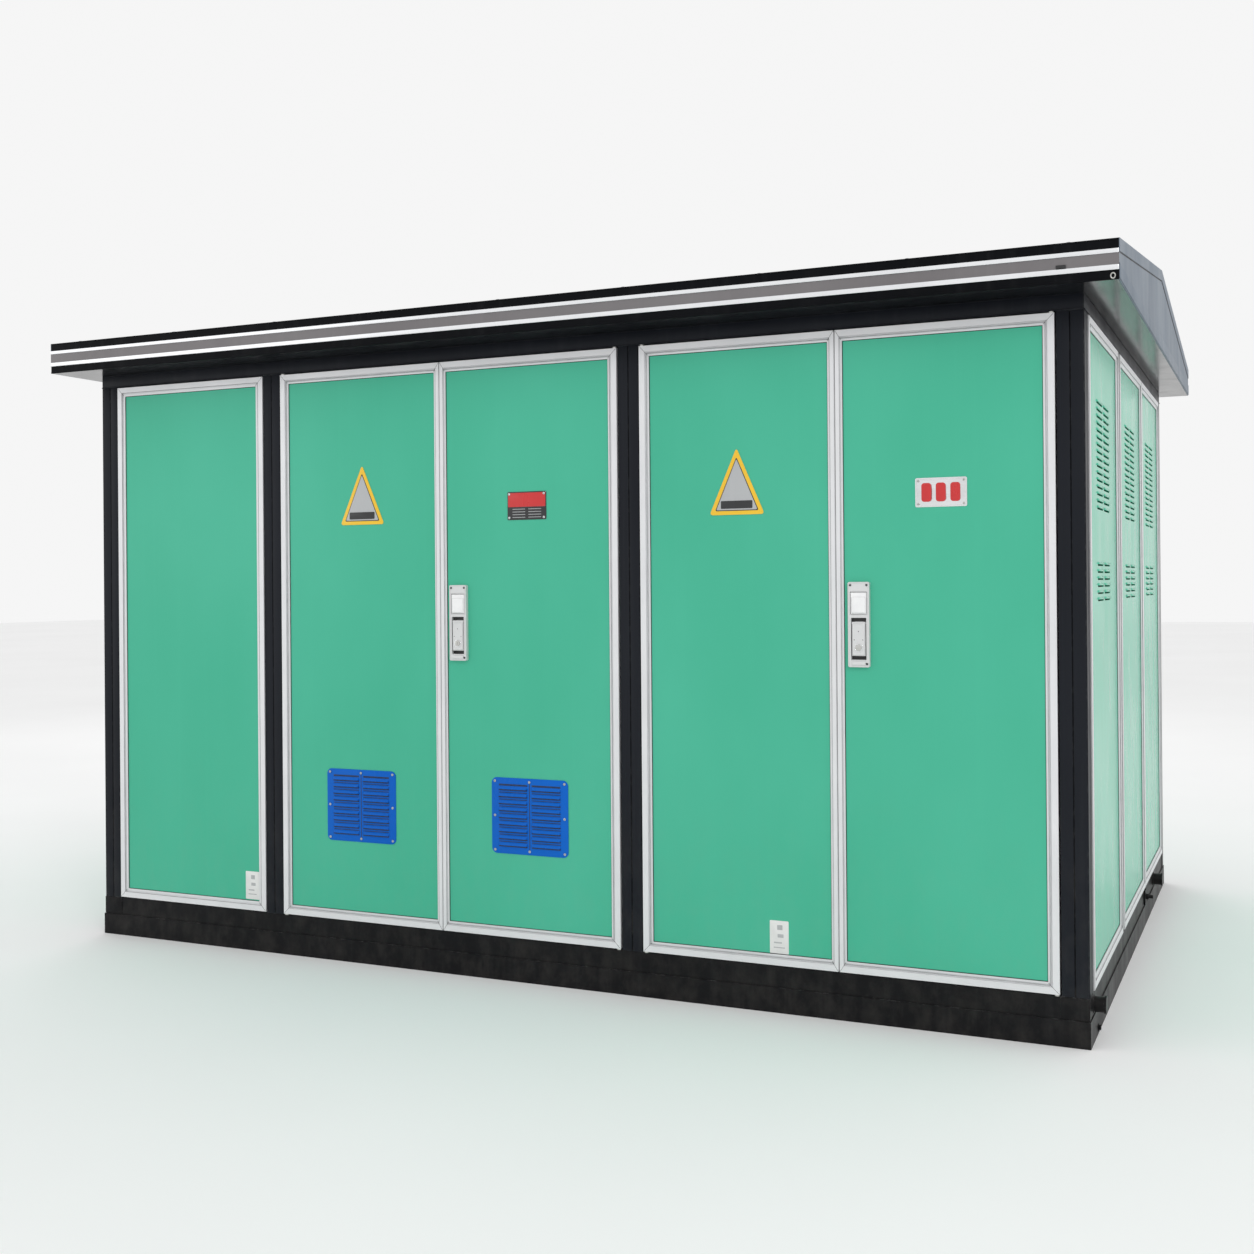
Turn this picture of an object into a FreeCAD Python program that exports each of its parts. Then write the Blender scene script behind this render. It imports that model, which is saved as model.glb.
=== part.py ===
import FreeCAD
import Part
import math
import os

# A walk-round transformer kiosk: a steel base and post frame, a gable roof, framed
# wall panels and door leaves, and the transformer with its switchgear inside.
# Millimetres. Origin: bottom centre of the whole. +Z up, the front faces -Y.

Vector = FreeCAD.Vector

# ---------------------------------------------------------------- overall body
LENGTH = 3400.0            # plinth, left to right
WIDTH = 2340.0             # plinth, front to rear
SECTION_DEPTH = 60.0       # depth of every base and plinth member
CHANNEL_H = 72.0           # lower base channel
CHANNEL_PROUD = 4.0        # how far the channel stands out past the plinth
CHANNEL_WALL = 6.0
PLINTH_H = 61.0            # upper ring, on top of the channel
PLINTH_TOP = CHANNEL_H + PLINTH_H
FLOOR_T = 3.0
ANCHOR_HOLE_R = 11.0
ANCHOR_INSET = 150.0       # anchor hole from the end of the plinth
TUBE_WALL = 4.0

# ------------------------------------------------------------- wall of framed leaves
DOOR_GAP = 4.0             # round a moving leaf
LEAF_H = 1816.0
LEAF_LOW = PLINTH_TOP + DOOR_GAP
LEAF_HIGH = LEAF_LOW + LEAF_H
LEAF_T = 40.0              # depth of the aluminium profile
LEAF_PROUD = 5.0           # profile front ahead of the posts
PROFILE_STEP = 3.0         # depth of the first bevel of a profile
CORNER_EDGE = 75.0         # outer edge of the first leaf from the corner
POST_DEPTH = 71.0          # depth of mullions and top rails
BAY_HV = 640.0             # left bay
BAY_TRANSFORMER = 1250.0   # middle bay
BAY_STEP = 75.0            # from one bay's leaves to the next
END_STEP = 40.0            # same, on the end walls
PROFILE = 30.0             # visible width of a profile
MEETING_PROFILE = 19.0     # narrower stile where two leaves meet
PANEL_RECESS = 8.0         # panel face behind the profile front
PANEL_T = 25.0
PIVOT_INSET = 8.0          # pin axis from the leaf's outer edge and from its front
PIN_R = 4.0
COLLAR_R = PIN_R + 3.0
PIN_ENTRY = 20.0           # pin length inside the leaf
RUN_FIT = 0.05             # radial clearance of pins and spigots
SEAT = 0.3                 # clearance of pieces that pass through or rest near another

# --------------------------------------------------------------------------- vents
SLOT_W = 130.0
SLOT_H = 8.0
SLOT_PITCH = 20.0
SLOT_COLUMN_GAP = 30.0
VENT_FIELDS = ((1303.0, 16), (1043.0, 6))   # lowest slot above the leaf's foot, rows
LOUVRE_W = 269.0
LOUVRE_H = 238.0
LOUVRE_LOW = LEAF_LOW + 260.0
LOUVRE_T = 2.0
LOUVRE_CORNER_R = 18.0
LOUVRE_ROWS = 9
LOUVRE_END = 20.0          # plate above and below the rows
LOUVRE_SIDE = 26.0         # plate outside the columns
LOUVRE_MIDDLE = 8.0        # half the space between the columns
LOUVRE_HOOD = 6.0
HOOD_HEIGHTS = (2.0, 5.0, 7.0, 16.0)   # foot, lip low, lip high, top of a hood

# ---------------------------------------------------------------------------- roof
RAIL_LOW = LEAF_HIGH + DOOR_GAP
RAIL_HIGH = RAIL_LOW + 103.0
CROSS_RAIL_LOW = RAIL_HIGH - SECTION_DEPTH
EAVES_LOW = RAIL_LOW + 44.0
EAVES_HIGH = EAVES_LOW + 105.0
RIDGE = EAVES_HIGH + 165.0
EAVES_OUT = 137.0          # front and rear overhang
VERGE_OUT = 105.0          # overhang at the ends
SHEET = 3.0
SOFFIT_T = 2.0
ROOF_DROP = 8.0            # roof sheet below the verge edge
VERGE_BAND = 34.0
VERGE_BAND_T = 2.0
TRIM_PROUD = 5.0
TRIM_LOW = (EAVES_LOW + 24.0, 14.0)    # bottom and height of the lower bright strip
TRIM_HIGH = (EAVES_LOW + 67.0, 12.0)
BAND_PROUD = 1.5
RIDGE_BEAM_W = 60.0
RIDGE_BEAM_H = 50.0
PURLIN_W = 50.0
RIDGE_CAP_W = 120.0

# ------------------------------------------------------------------- base fittings
TRUNNION_R = 21.0
TRUNNION_LEN = 36.0
TRUNNION_CAP_R = 24.0
TRUNNION_CAP_T = 6.0
TRUNNION_FROM_FRONT = (75.0, 1880.0)
EARTH_FROM_FRONT = 1540.0
FITTING_Z = CHANNEL_H + PLINTH_H / 2 - 0.5
EARTH_PAD = (50.0, 6.0)    # side and thickness
EARTH_STUD = (6.0, 24.0)   # radius and length
EARTH_NUT = (10.0, 10.0)

# --------------------------------------------------------------------------- locks
LOCK_W = 62.0
LOCK_H = 240.0
LOCK_T = 12.0
LOCK_CORNER_R = 5.0
LOCK_LOW = LEAF_LOW + 863.0
LOCK_FROM_MEETING = 33.0
FLAP_W = 45.0
FLAP_H = 61.0
FLAP_DOWN = 29.0           # top of the flap below the top of the plate
LEVER_W = 38.0
LEVER_H = 96.0
LEVER_DOWN = 112.0
TONGUE_T = 8.0             # thickness of lever and flap
POCKET_FLOOR = 2.5
TONGUE_BACK = 1.0          # space between tongue and pocket floor
FLAP_FIT = 1.5             # space round the flap
LEVER_FIT = 3.0            # space at each side of the lever
POCKET_MARGIN = 11.0       # finger room above and below the lever
LOCK_PIN_R = 1.5
BOLT_THROW = 18.0
BOLT_SECTION = (12.0, 20.0)
BOLT_BEHIND = 2.0          # bolt behind the leaf's profile
CASE_W = 40.0
CASE_H = 120.0
CASE_T = 28.0

# --------------------------------------------------------------------- transformer
CORE_LIMB = 120.0
CORE_WINDOW = 420.0
COIL_R = 130.0
COIL_GAP = 30.0            # between neighbouring coils
COIL_SHORT = 20.0          # coil shorter than the window
COIL_FIT = 2.0             # coil clear of the limb's corners
CORE_PITCH = 2 * COIL_R + COIL_GAP
TANK_ROOM = (130.0, 80.0)  # oil round the coils, across and along the tank
TANK = (2 * (COIL_R + TANK_ROOM[0]), 2 * (CORE_PITCH + COIL_R + TANK_ROOM[1]), 820.0)
TANK_Y = -250.0
TANK_WALL = 5.0
SKID = (60.0, 1100.0, 80.0)
FIN_DEPTH = 150.0
FIN_T = 14.0
FIN_PITCH = 62.0
FIN_H = 620.0
FIN_WALL = 4.0
COVER_T = 12.0
COVER_LIP = 30.0
LUG = (60.0, 12.0, 60.0)
LUG_IN = 60.0              # lifting lugs in from the tank's ends
TAP_IN = 120.0             # tap knob in from the tank's end
BUSHING_OUT = 170.0        # bushing rows from the tank's centre line
HV_BUSHING = (32.0, 58.0, 280.0, 5)    # body radius, shed radius, height, sheds
LV_BUSHING = (26.0, 38.0, 150.0, 2)
HV_PITCH = 200.0
LV_PITCH = 120.0
SHED_T = 12.0
CAP_R = 18.0
CAP_H = 80.0
CONDUCTOR_R = 14.0
BUSBAR = (8.0, 60.0)

# ----------------------------------------------------------- switchgear and panels
PARTITION_T = 30.0
HV_GEAR_ROOM = 420.0       # cubicle's ends from the front and rear walls
HV_GEAR = (500.0, WIDTH - 2 * HV_GEAR_ROOM, 1500.0)
HV_GEAR_COVERS = 3
HV_GEAR_GAP = 30.0         # cubicle from the partition
COVER_GAP = 20.0           # between the cubicle's covers
COVER_MARGIN = 60.0        # above and below the covers
LV_GEAR_SIDE = 98.75       # cubicle from the partition's middle and from the post
LV_GEAR_DEPTH = 800.0
LV_GEAR_H = 1550.0
LV_GEAR_SETBACK = 170.0    # cubicle front behind the wall plane
GEAR_WALL = 3.0
BREAKER = (210.0, 110.0, 330.0)
FEEDER = (105.0, 80.0, 165.0)
FEEDER_GAP = 45.0
FEEDER_UP = 717.0          # feeder row above the floor
MAIN_UP = 1167.0           # main breaker above the floor
MAIN_IN = 250.0            # main breaker from the cubicle's side
HV_HANDLE_UP = 967.0
HANDLE_LEN = 160.0
HANDLE_W = 24.0
HANDLE_T = 12.0
HUB_LIFT = 2.0             # hub clear of the face behind it
SPIGOT_R = 12.0
SPIGOT_LEN = 24.0
HUB_R = 22.0
KNOB_R = 32.0
POINTER = (20.0, 10.0, 10.0)   # reach past the knob, width, thickness
SLOT_OPEN_LV = (700.0, 150.0, 120.0)    # length, width, distance behind the cubicle
SLOT_OPEN_HV = (420.0, 150.0, 80.0)

HALF_L = LENGTH / 2
HALF_W = WIDTH / 2


# ------------------------------------------------------------------- small helpers
def box(x, y, z):
    """A box from three (low, high) pairs."""
    corner = Vector(x[0], y[0], z[0])
    return Part.makeBox(x[1] - x[0], y[1] - y[0], z[1] - z[0], corner)


def around(centre, size):
    """The (low, high) pair of a length centred on a value."""
    return (centre - size / 2, centre + size / 2)


def rod(centre, axis, radius, length):
    return Part.makeCylinder(radius, length, Vector(*centre), Vector(*axis))


def prism(points, direction):
    """A closed outline of 3-D points pushed along a vector."""
    vectors = [Vector(*p) for p in points]
    face = Part.Face(Part.makePolygon(vectors + [vectors[0]]))
    return face.extrude(Vector(*direction))


def tube(x, y, z, along):
    """A square tube with open ends; along is 0, 1 or 2 for X, Y or Z."""
    spans = [x, y, z]
    inner = [(low + TUBE_WALL, high - TUBE_WALL) for low, high in spans]
    inner[along] = spans[along]
    return box(*spans).cut(box(*inner))


def shell(x, y, z, wall):
    """A closed sheet-metal box."""
    inner = [(low + wall, high - wall) for low, high in (x, y, z)]
    return box(x, y, z).cut(box(*inner))


def cut_all(solid, tools):
    return solid.cut(Part.makeCompound(tools)) if tools else solid


def turned(shape, degrees):
    """The shape turned about the vertical axis through the origin."""
    copy = shape.copy()
    copy.rotate(Vector(0, 0, 0), Vector(0, 0, 1), degrees)
    return copy


def mirrored(shape, normal):
    return shape.mirror(Vector(0, 0, 0), Vector(*normal))


def export(node, solids):
    shape = solids[0] if len(solids) == 1 else Part.makeCompound(solids)
    shape.exportStep("parts/%s.step" % node)


# --------------------------------------------------------------------------- walls
# Each wall is drawn as if it were the front one, seen from outside, then turned.
class Wall:
    def __init__(self, angle, half_depth):
        self.angle = angle
        self.front = -half_depth

    def place(self, shape):
        return turned(shape, self.angle)


FRONT = Wall(0, HALF_W)
RIGHT = Wall(90, HALF_L)
REAR = Wall(180, HALF_W)
LEFT = Wall(270, HALF_L)

# Outer edges of the leaves along the front wall
FRONT_HV = (-HALF_L + CORNER_EDGE, -HALF_L + CORNER_EDGE + BAY_HV)
FRONT_MID = (FRONT_HV[1] + BAY_STEP, FRONT_HV[1] + BAY_STEP + BAY_TRANSFORMER)
FRONT_LV = (FRONT_MID[1] + BAY_STEP, HALF_L - CORNER_EDGE)
END_LEAF = (WIDTH - 2 * CORNER_EDGE - END_STEP) / 3
END_SINGLE = (-HALF_W + CORNER_EDGE, -HALF_W + CORNER_EDGE + END_LEAF)
END_PAIR = (END_SINGLE[1] + END_STEP, HALF_W - CORNER_EDGE)

HV_SIDE = (FRONT_HV[1] + FRONT_MID[0]) / 2      # middle of the two mullions
LV_SIDE = (FRONT_MID[1] + FRONT_LV[0]) / 2
TANK_X = (FRONT_MID[0] + FRONT_MID[1]) / 2


def halves(bay):
    """The two leaves of a pair, with the gap where they meet."""
    middle = (bay[0] + bay[1]) / 2
    return (bay[0], middle - DOOR_GAP / 2), (middle + DOOR_GAP / 2, bay[1])


# -------------------------------------------------------------------- framed leaves
def profile_section(width):
    """(across, depth) points of a profile: flat face, bevel down to the panel.
    Every point is a share of the width, so that unequal profiles still mitre."""
    return ((0, 0), (0.6 * width, 0), (0.65 * width, PROFILE_STEP),
            (width, PANEL_RECESS), (width, LEAF_T), (0, LEAF_T))


def mitred_frame(wall, edges, left=PROFILE, right=PROFILE):
    """Four profiles whose ends meet on the mitre planes."""
    front = wall.front - LEAF_PROUD
    sides = {"left": left, "right": right, "low": PROFILE, "high": PROFILE}

    def corner(horizontal, vertical, index):
        across = profile_section(sides[horizontal])[index][0]
        upward, depth = profile_section(sides[vertical])[index]
        x = edges[0] + across if horizontal == "left" else edges[1] - across
        z = LEAF_LOW + upward if vertical == "low" else LEAF_HIGH - upward
        return Vector(x, front + depth, z)

    def mitre(horizontal, vertical):
        return [corner(horizontal, vertical, i) for i in range(len(profile_section(1)))]

    ends = (("left", "low"), ("right", "low"), ("right", "high"), ("left", "high"))
    rings = [mitre(*end) for end in ends]
    return [bar_between(rings[i], rings[(i + 1) % 4]) for i in range(4)]


def bar_between(first, second):
    """A solid from two matching end outlines, joined by flat sides."""
    count = len(first)
    outlines = [first, second]
    for i in range(count):
        after = (i + 1) % count
        outlines.append([first[i], first[after], second[after], second[i]])
    faces = [Part.Face(Part.makePolygon(ring + [ring[0]])) for ring in outlines]
    solid = Part.Solid(Part.Shell(faces))
    if solid.Volume < 0:
        solid.reverse()
    return solid


def panel(wall, edges, left=PROFILE, right=PROFILE):
    front = wall.front - LEAF_PROUD + PANEL_RECESS
    return box((edges[0] + left, edges[1] - right), (front, front + PANEL_T),
               (LEAF_LOW + PROFILE, LEAF_HIGH - PROFILE))


def vent_slots(wall, edges):
    """Two columns of slots, in fields one above the other, through a panel."""
    centre = (edges[0] + edges[1]) / 2
    shift = (SLOT_W + SLOT_COLUMN_GAP) / 2
    depth = (wall.front - LEAF_T, wall.front + LEAF_T)
    slots = []
    for lowest, rows in VENT_FIELDS:
        for row in range(rows):
            z = LEAF_LOW + lowest + row * SLOT_PITCH
            for side in (-shift, shift):
                slots.append(box(around(centre + side, SLOT_W), depth, (z, z + SLOT_H)))
    return slots


def pin_axis(wall, edges, hung_left):
    x = edges[0] + PIVOT_INSET if hung_left else edges[1] - PIVOT_INSET
    return x, wall.front - LEAF_PROUD + PIVOT_INSET


def pivot_pins(wall, edges, hung_left):
    """The lower and upper pins, each with the collar that the leaf runs on."""
    x, y = pin_axis(wall, edges, hung_left)
    collar = DOOR_GAP - SEAT
    pins = []
    for z, up in ((PLINTH_TOP, 1), (RAIL_LOW, -1)):
        disc = rod((x, y, z), (0, 0, up), COLLAR_R, collar)
        pin = rod((x, y, z), (0, 0, up), PIN_R, DOOR_GAP + PIN_ENTRY)
        pins.append(wall.place(disc.fuse(pin)))
    return pins


def pin_holes(wall, edges, hung_left):
    x, y = pin_axis(wall, edges, hung_left)
    radius = PIN_R + RUN_FIT
    depth = PIN_ENTRY + 1
    return [rod((x, y, LEAF_LOW - 1), (0, 0, 1), radius, depth + 1),
            rod((x, y, LEAF_HIGH + 1), (0, 0, -1), radius, depth + 1)]


class Leaf:
    """A moving leaf: frame and panel, hung on pins at one edge."""

    def __init__(self, name, wall, edges, hung_left):
        self.name = name
        self.wall = wall
        self.edges = edges
        self.hung_left = hung_left
        self.left = PROFILE if hung_left else MEETING_PROFILE
        self.right = MEETING_PROFILE if hung_left else PROFILE

    def frame(self):
        holes = pin_holes(self.wall, self.edges, self.hung_left)
        bars = mitred_frame(self.wall, self.edges, self.left, self.right)
        return [self.wall.place(cut_all(bar, holes)) for bar in bars]

    def panel(self):
        return self.wall.place(panel(self.wall, self.edges, self.left, self.right))

    def pins(self):
        return pivot_pins(self.wall, self.edges, self.hung_left)


MID_LEFT, MID_RIGHT = halves(FRONT_MID)
LV_LEFT, LV_RIGHT = halves(FRONT_LV)
# On the left end the front edge of the wall is at the right, seen from outside.
HV_PAIR = (-END_PAIR[1], -END_PAIR[0])
HV_SINGLE = (-END_SINGLE[1], -END_SINGLE[0])
HV_LEFT, HV_RIGHT = halves(HV_PAIR)

LEAVES = (
    Leaf("transformer_leaf_left", FRONT, MID_LEFT, True),
    Leaf("transformer_leaf_right", FRONT, MID_RIGHT, False),
    Leaf("lv_leaf_left", FRONT, LV_LEFT, True),
    Leaf("lv_leaf_right", FRONT, LV_RIGHT, False),
    Leaf("hv_leaf_rear", LEFT, HV_LEFT, True),
    Leaf("hv_leaf_front", LEFT, HV_RIGHT, False),
)
# Fixed framed panels: (wall, edges, vented)
REAR_HV = (-FRONT_HV[1], -FRONT_HV[0])
REAR_MID_RIGHT = (-MID_LEFT[1] + DOOR_GAP / 2, -MID_LEFT[0])
REAR_MID_LEFT = (-MID_RIGHT[1], -MID_RIGHT[0] + DOOR_GAP / 2)
REAR_LV_RIGHT = (-LV_LEFT[1] + DOOR_GAP / 2, -LV_LEFT[0])
REAR_LV_LEFT = (-LV_RIGHT[1], -LV_RIGHT[0] + DOOR_GAP / 2)
END_MIDDLE = (END_PAIR[0] + END_PAIR[1]) / 2
FIXED = (
    (FRONT, FRONT_HV, False),
    (RIGHT, END_SINGLE, True),
    (RIGHT, (END_PAIR[0], END_MIDDLE), True),
    (RIGHT, (END_MIDDLE, END_PAIR[1]), True),
    (LEFT, HV_SINGLE, True),
    (REAR, REAR_HV, False),
    (REAR, REAR_MID_RIGHT, False),
    (REAR, REAR_MID_LEFT, False),
    (REAR, REAR_LV_RIGHT, False),
    (REAR, REAR_LV_LEFT, False),
)


def fixed_panels():
    frames, panels = [], []
    for wall, edges, vented in FIXED:
        frames += [wall.place(bar) for bar in mitred_frame(wall, edges)]
        slots = vent_slots(wall, edges) if vented else []
        panels.append(wall.place(cut_all(panel(wall, edges), slots)))
    return frames, panels


def louvre_plate(edges):
    """A riveted plate with two columns of hooded louvres, on a front leaf."""
    centre = (edges[0] + edges[1]) / 2
    face = FRONT.front - LEAF_PROUD + PANEL_RECESS
    high = LOUVRE_LOW + LOUVRE_H
    plate = box(around(centre, LOUVRE_W), (face - LOUVRE_T, face), (LOUVRE_LOW, high))
    corners = [e for e in plate.Edges if abs(e.Length - LOUVRE_T) < 1e-6]
    plate = plate.makeFillet(LOUVRE_CORNER_R, corners)
    hood_w = LOUVRE_W / 2 - LOUVRE_SIDE - LOUVRE_MIDDLE
    pitch = (LOUVRE_H - 2 * LOUVRE_END) / LOUVRE_ROWS
    front = face - LOUVRE_T
    lip = front - LOUVRE_HOOD
    hoods = []
    for row in range(LOUVRE_ROWS):
        heights = [LOUVRE_LOW + LOUVRE_END + row * pitch + h for h in HOOD_HEIGHTS]
        for side in (-1, 1):
            x = centre + side * (hood_w / 2 + LOUVRE_MIDDLE) - hood_w / 2
            outline = [(x, y, z) for y, z in zip((front, lip, lip, front), heights)]
            hoods.append(prism(outline, (hood_w, 0, 0)))
    return plate.fuse(hoods)


# ------------------------------------------------------------------- base and frame
def base_channels():
    """Four C-channels, their webs outward, and box cross members between them."""
    out_x = HALF_L + CHANNEL_PROUD
    out_y = HALF_W + CHANNEL_PROUD
    inner_y = out_y - SECTION_DEPTH

    def channel(half_run, out):
        wall, tip, top = CHANNEL_WALL, out - SECTION_DEPTH, CHANNEL_H
        outline = ((-out, 0), (-tip, 0), (-tip, wall), (-out + wall, wall),
                   (-out + wall, top - wall), (-tip, top - wall), (-tip, top),
                   (-out, top))
        points = [(-half_run, y, z) for y, z in outline]
        return prism(points, (2 * half_run, 0, 0))

    def capped(beam):
        caps = [box(span, (-out_y, -inner_y), (0, CHANNEL_H))
                for span in ((-out_x, -out_x + CHANNEL_WALL),
                             (out_x - CHANNEL_WALL, out_x))]
        return beam.fuse(caps)

    front = capped(channel(out_x, out_y))
    hole_y = -out_y + (SECTION_DEPTH + CHANNEL_WALL) / 2
    holes = [rod((side * (HALF_L - ANCHOR_INSET), hole_y, -1), (0, 0, 1),
                 ANCHOR_HOLE_R, CHANNEL_WALL + 2) for side in (-1, 1)]
    front = cut_all(front, holes)
    end = channel(inner_y, out_x)
    beams = [front, turned(front, 180), turned(end, 90), turned(end, 270)]
    for x in JOISTS:
        beams.append(tube(around(x, SECTION_DEPTH), (-inner_y, inner_y),
                          (0, CHANNEL_H), 1))
    return beams


JOISTS = (HV_SIDE, TANK_X - TANK[0] / 2, TANK_X + TANK[0] / 2, LV_SIDE)


def plinth_rails():
    """The upper ring, with joists one floor thickness lower."""
    inner = HALF_W - SECTION_DEPTH
    z = (CHANNEL_H, PLINTH_TOP)
    front = shell((-HALF_L, HALF_L), (-HALF_W, -inner), z, TUBE_WALL)
    end = tube((HALF_L - SECTION_DEPTH, HALF_L), (-inner, inner), z, 1)
    rails = [front, mirrored(front, (0, 1, 0)), end, mirrored(end, (1, 0, 0))]
    for x in JOISTS:
        rails.append(tube(around(x, SECTION_DEPTH), (-inner, inner),
                          (CHANNEL_H, PLINTH_TOP - FLOOR_T), 1))
    return rails


ROOMS = {
    "hv": (-HALF_L + SECTION_DEPTH, HV_SIDE),
    "transformer": (HV_SIDE, LV_SIDE),
    "lv": (LV_SIDE, HALF_L - SECTION_DEPTH),
}
HV_GEAR_HIGH = HV_SIDE - PARTITION_T / 2 - HV_GEAR_GAP
HV_GEAR_X = (HV_GEAR_HIGH - HV_GEAR[0], HV_GEAR_HIGH)
LV_GEAR_X = (LV_SIDE + LV_GEAR_SIDE, HALF_L - CORNER_EDGE - LV_GEAR_SIDE)
LV_GEAR_Y = (-HALF_W + LV_GEAR_SETBACK, -HALF_W + LV_GEAR_SETBACK + LV_GEAR_DEPTH)
FLOOR_HOLES = {
    "hv": (around((HV_GEAR_X[0] + HV_GEAR_X[1]) / 2, SLOT_OPEN_HV[0]),
           (HV_GEAR[1] / 2 + SLOT_OPEN_HV[2],
            HV_GEAR[1] / 2 + SLOT_OPEN_HV[2] + SLOT_OPEN_HV[1])),
    "transformer": (around(TANK_X, TANK[0] - 2 * SKID[0]), around(TANK_Y, TANK[1])),
    "lv": (around((LV_GEAR_X[0] + LV_GEAR_X[1]) / 2, SLOT_OPEN_LV[0]),
           (LV_GEAR_Y[1] + SLOT_OPEN_LV[2],
            LV_GEAR_Y[1] + SLOT_OPEN_LV[2] + SLOT_OPEN_LV[1])),
}


def floor_plates():
    """Four plates round the cable or drain opening of each room."""
    z = (PLINTH_TOP - FLOOR_T, PLINTH_TOP)
    run = (-HALF_W + SECTION_DEPTH, HALF_W - SECTION_DEPTH)
    plates = []
    for room, x in ROOMS.items():
        hole_x, hole_y = FLOOR_HOLES[room]
        plates += [box((x[0], hole_x[0]), run, z), box((hole_x[1], x[1]), run, z),
                   box(hole_x, (run[0], hole_y[0]), z),
                   box(hole_x, (hole_y[1], run[1]), z)]
    return plates


def corner_posts():
    """Square tubes that reach the first leaf's edge, or stop a door gap short."""
    z = (PLINTH_TOP, RAIL_LOW)
    moving = CORNER_EDGE - DOOR_GAP
    left, right = (-HALF_L, -HALF_L + CORNER_EDGE), (HALF_L - CORNER_EDGE, HALF_L)
    front, rear = (-HALF_W, -HALF_W + CORNER_EDGE), (HALF_W - CORNER_EDGE, HALF_W)
    return [
        tube(left, front, z, 2),
        tube((HALF_L - moving, HALF_L), front, z, 2),
        tube(left, (HALF_W - moving, HALF_W), z, 2),
        tube(right, rear, z, 2),
    ]


def mullions():
    z = (PLINTH_TOP, RAIL_LOW)
    gap = DOOR_GAP
    front = (-HALF_W, -HALF_W + POST_DEPTH)
    rear = (HALF_W - POST_DEPTH, HALF_W)
    posts = [
        tube((FRONT_HV[1], FRONT_MID[0] - gap), front, z, 2),
        tube((FRONT_MID[1] + gap, FRONT_LV[0] - gap), front, z, 2),
        tube((FRONT_HV[1], FRONT_MID[0]), rear, z, 2),
        tube((FRONT_MID[1], FRONT_LV[0]), rear, z, 2),
        tube((HALF_L - POST_DEPTH, HALF_L), (END_SINGLE[1], END_PAIR[0]), z, 2),
        tube((-HALF_L, -HALF_L + POST_DEPTH),
             (END_SINGLE[1], END_PAIR[0] - gap), z, 2),
    ]
    return posts


def top_rails():
    z = (RAIL_LOW, RAIL_HIGH)
    inner = HALF_W - POST_DEPTH
    front = shell((-HALF_L, HALF_L), (-HALF_W, -inner), z, TUBE_WALL)
    end = tube((HALF_L - POST_DEPTH, HALF_L), (-inner, inner), z, 1)
    rails = [front, mirrored(front, (0, 1, 0)), end, mirrored(end, (1, 0, 0))]
    for x in (HV_SIDE, LV_SIDE):
        rails.append(tube(around(x, SECTION_DEPTH), (-inner, inner),
                          (CROSS_RAIL_LOW, RAIL_HIGH), 1))
    return rails


# ---------------------------------------------------------------------------- roof
OUT_X = HALF_L + VERGE_OUT
OUT_Y = HALF_W + EAVES_OUT


def roof_line(y, drop):
    """Height of the roof slope at y, measured down from the verge edge."""
    return EAVES_HIGH + (RIDGE - EAVES_HIGH) * (1 - abs(y) / OUT_Y) - drop


def roof_sheets():
    """Two slopes between the gable plates, and a folded cap on the ridge."""
    run = OUT_X - SHEET
    edge = OUT_Y - SHEET
    top, low = ROOF_DROP, ROOF_DROP + SHEET
    outline = [(-run, -edge, roof_line(edge, top)), (-run, 0, roof_line(0, top)),
               (-run, 0, roof_line(0, low)), (-run, -edge, roof_line(edge, low))]
    slope = prism(outline, (2 * run, 0, 0))
    cap_edge = RIDGE_CAP_W / 2
    cap_top = ROOF_DROP - SHEET
    cap = [(-run, -cap_edge, roof_line(cap_edge, cap_top)),
           (-run, 0, roof_line(0, cap_top)),
           (-run, cap_edge, roof_line(cap_edge, cap_top)),
           (-run, cap_edge, roof_line(cap_edge, top)),
           (-run, 0, roof_line(0, top)),
           (-run, -cap_edge, roof_line(cap_edge, top))]
    return [slope, mirrored(slope, (0, 1, 0)), prism(cap, (2 * run, 0, 0))]


def roof_frame():
    """Ridge beam on king posts, and a purlin over each long top rail."""
    under = ROOF_DROP + SHEET + SEAT
    ridge_top = roof_line(RIDGE_BEAM_W / 2, under)
    ridge_low = ridge_top - RIDGE_BEAM_H
    members = [tube((-HALF_L, HALF_L), around(0, RIDGE_BEAM_W),
                    (ridge_low, ridge_top), 0)]
    ends = (-HALF_L + POST_DEPTH / 2, HV_SIDE, LV_SIDE, HALF_L - POST_DEPTH / 2)
    for x in ends:
        members.append(tube(around(x, SECTION_DEPTH), around(0, RIDGE_BEAM_W),
                            (RAIL_HIGH, ridge_low), 2))
    purlin = tube((-HALF_L, HALF_L), (-HALF_W, -HALF_W + PURLIN_W),
                  (RAIL_HIGH, roof_line(HALF_W, under)), 0)
    return members + [purlin, mirrored(purlin, (0, 1, 0))]


def eaves_soffit():
    z = (EAVES_LOW, EAVES_LOW + SOFFIT_T)
    inner_x, inner_y = OUT_X - SHEET, OUT_Y - SHEET
    front = box((-inner_x, inner_x), (-inner_y, -HALF_W), z)
    end = box((HALF_L, inner_x), (-HALF_W, HALF_W), z)
    return [front, mirrored(front, (0, 1, 0)), end, mirrored(end, (1, 0, 0))]


def front_and_rear(proud, thickness, z):
    """A strip along the front fascia line, and its copy on the rear one."""
    strip = box((-OUT_X, OUT_X), (-OUT_Y - proud, -OUT_Y - proud + thickness), z)
    return [strip, mirrored(strip, (0, 1, 0))]


def fascia_boards():
    return front_and_rear(0, SHEET, (EAVES_LOW, EAVES_HIGH))


def fascia_band():
    low = TRIM_LOW[0] + TRIM_LOW[1]
    return front_and_rear(BAND_PROUD, BAND_PROUD, (low, TRIM_HIGH[0]))


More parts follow.
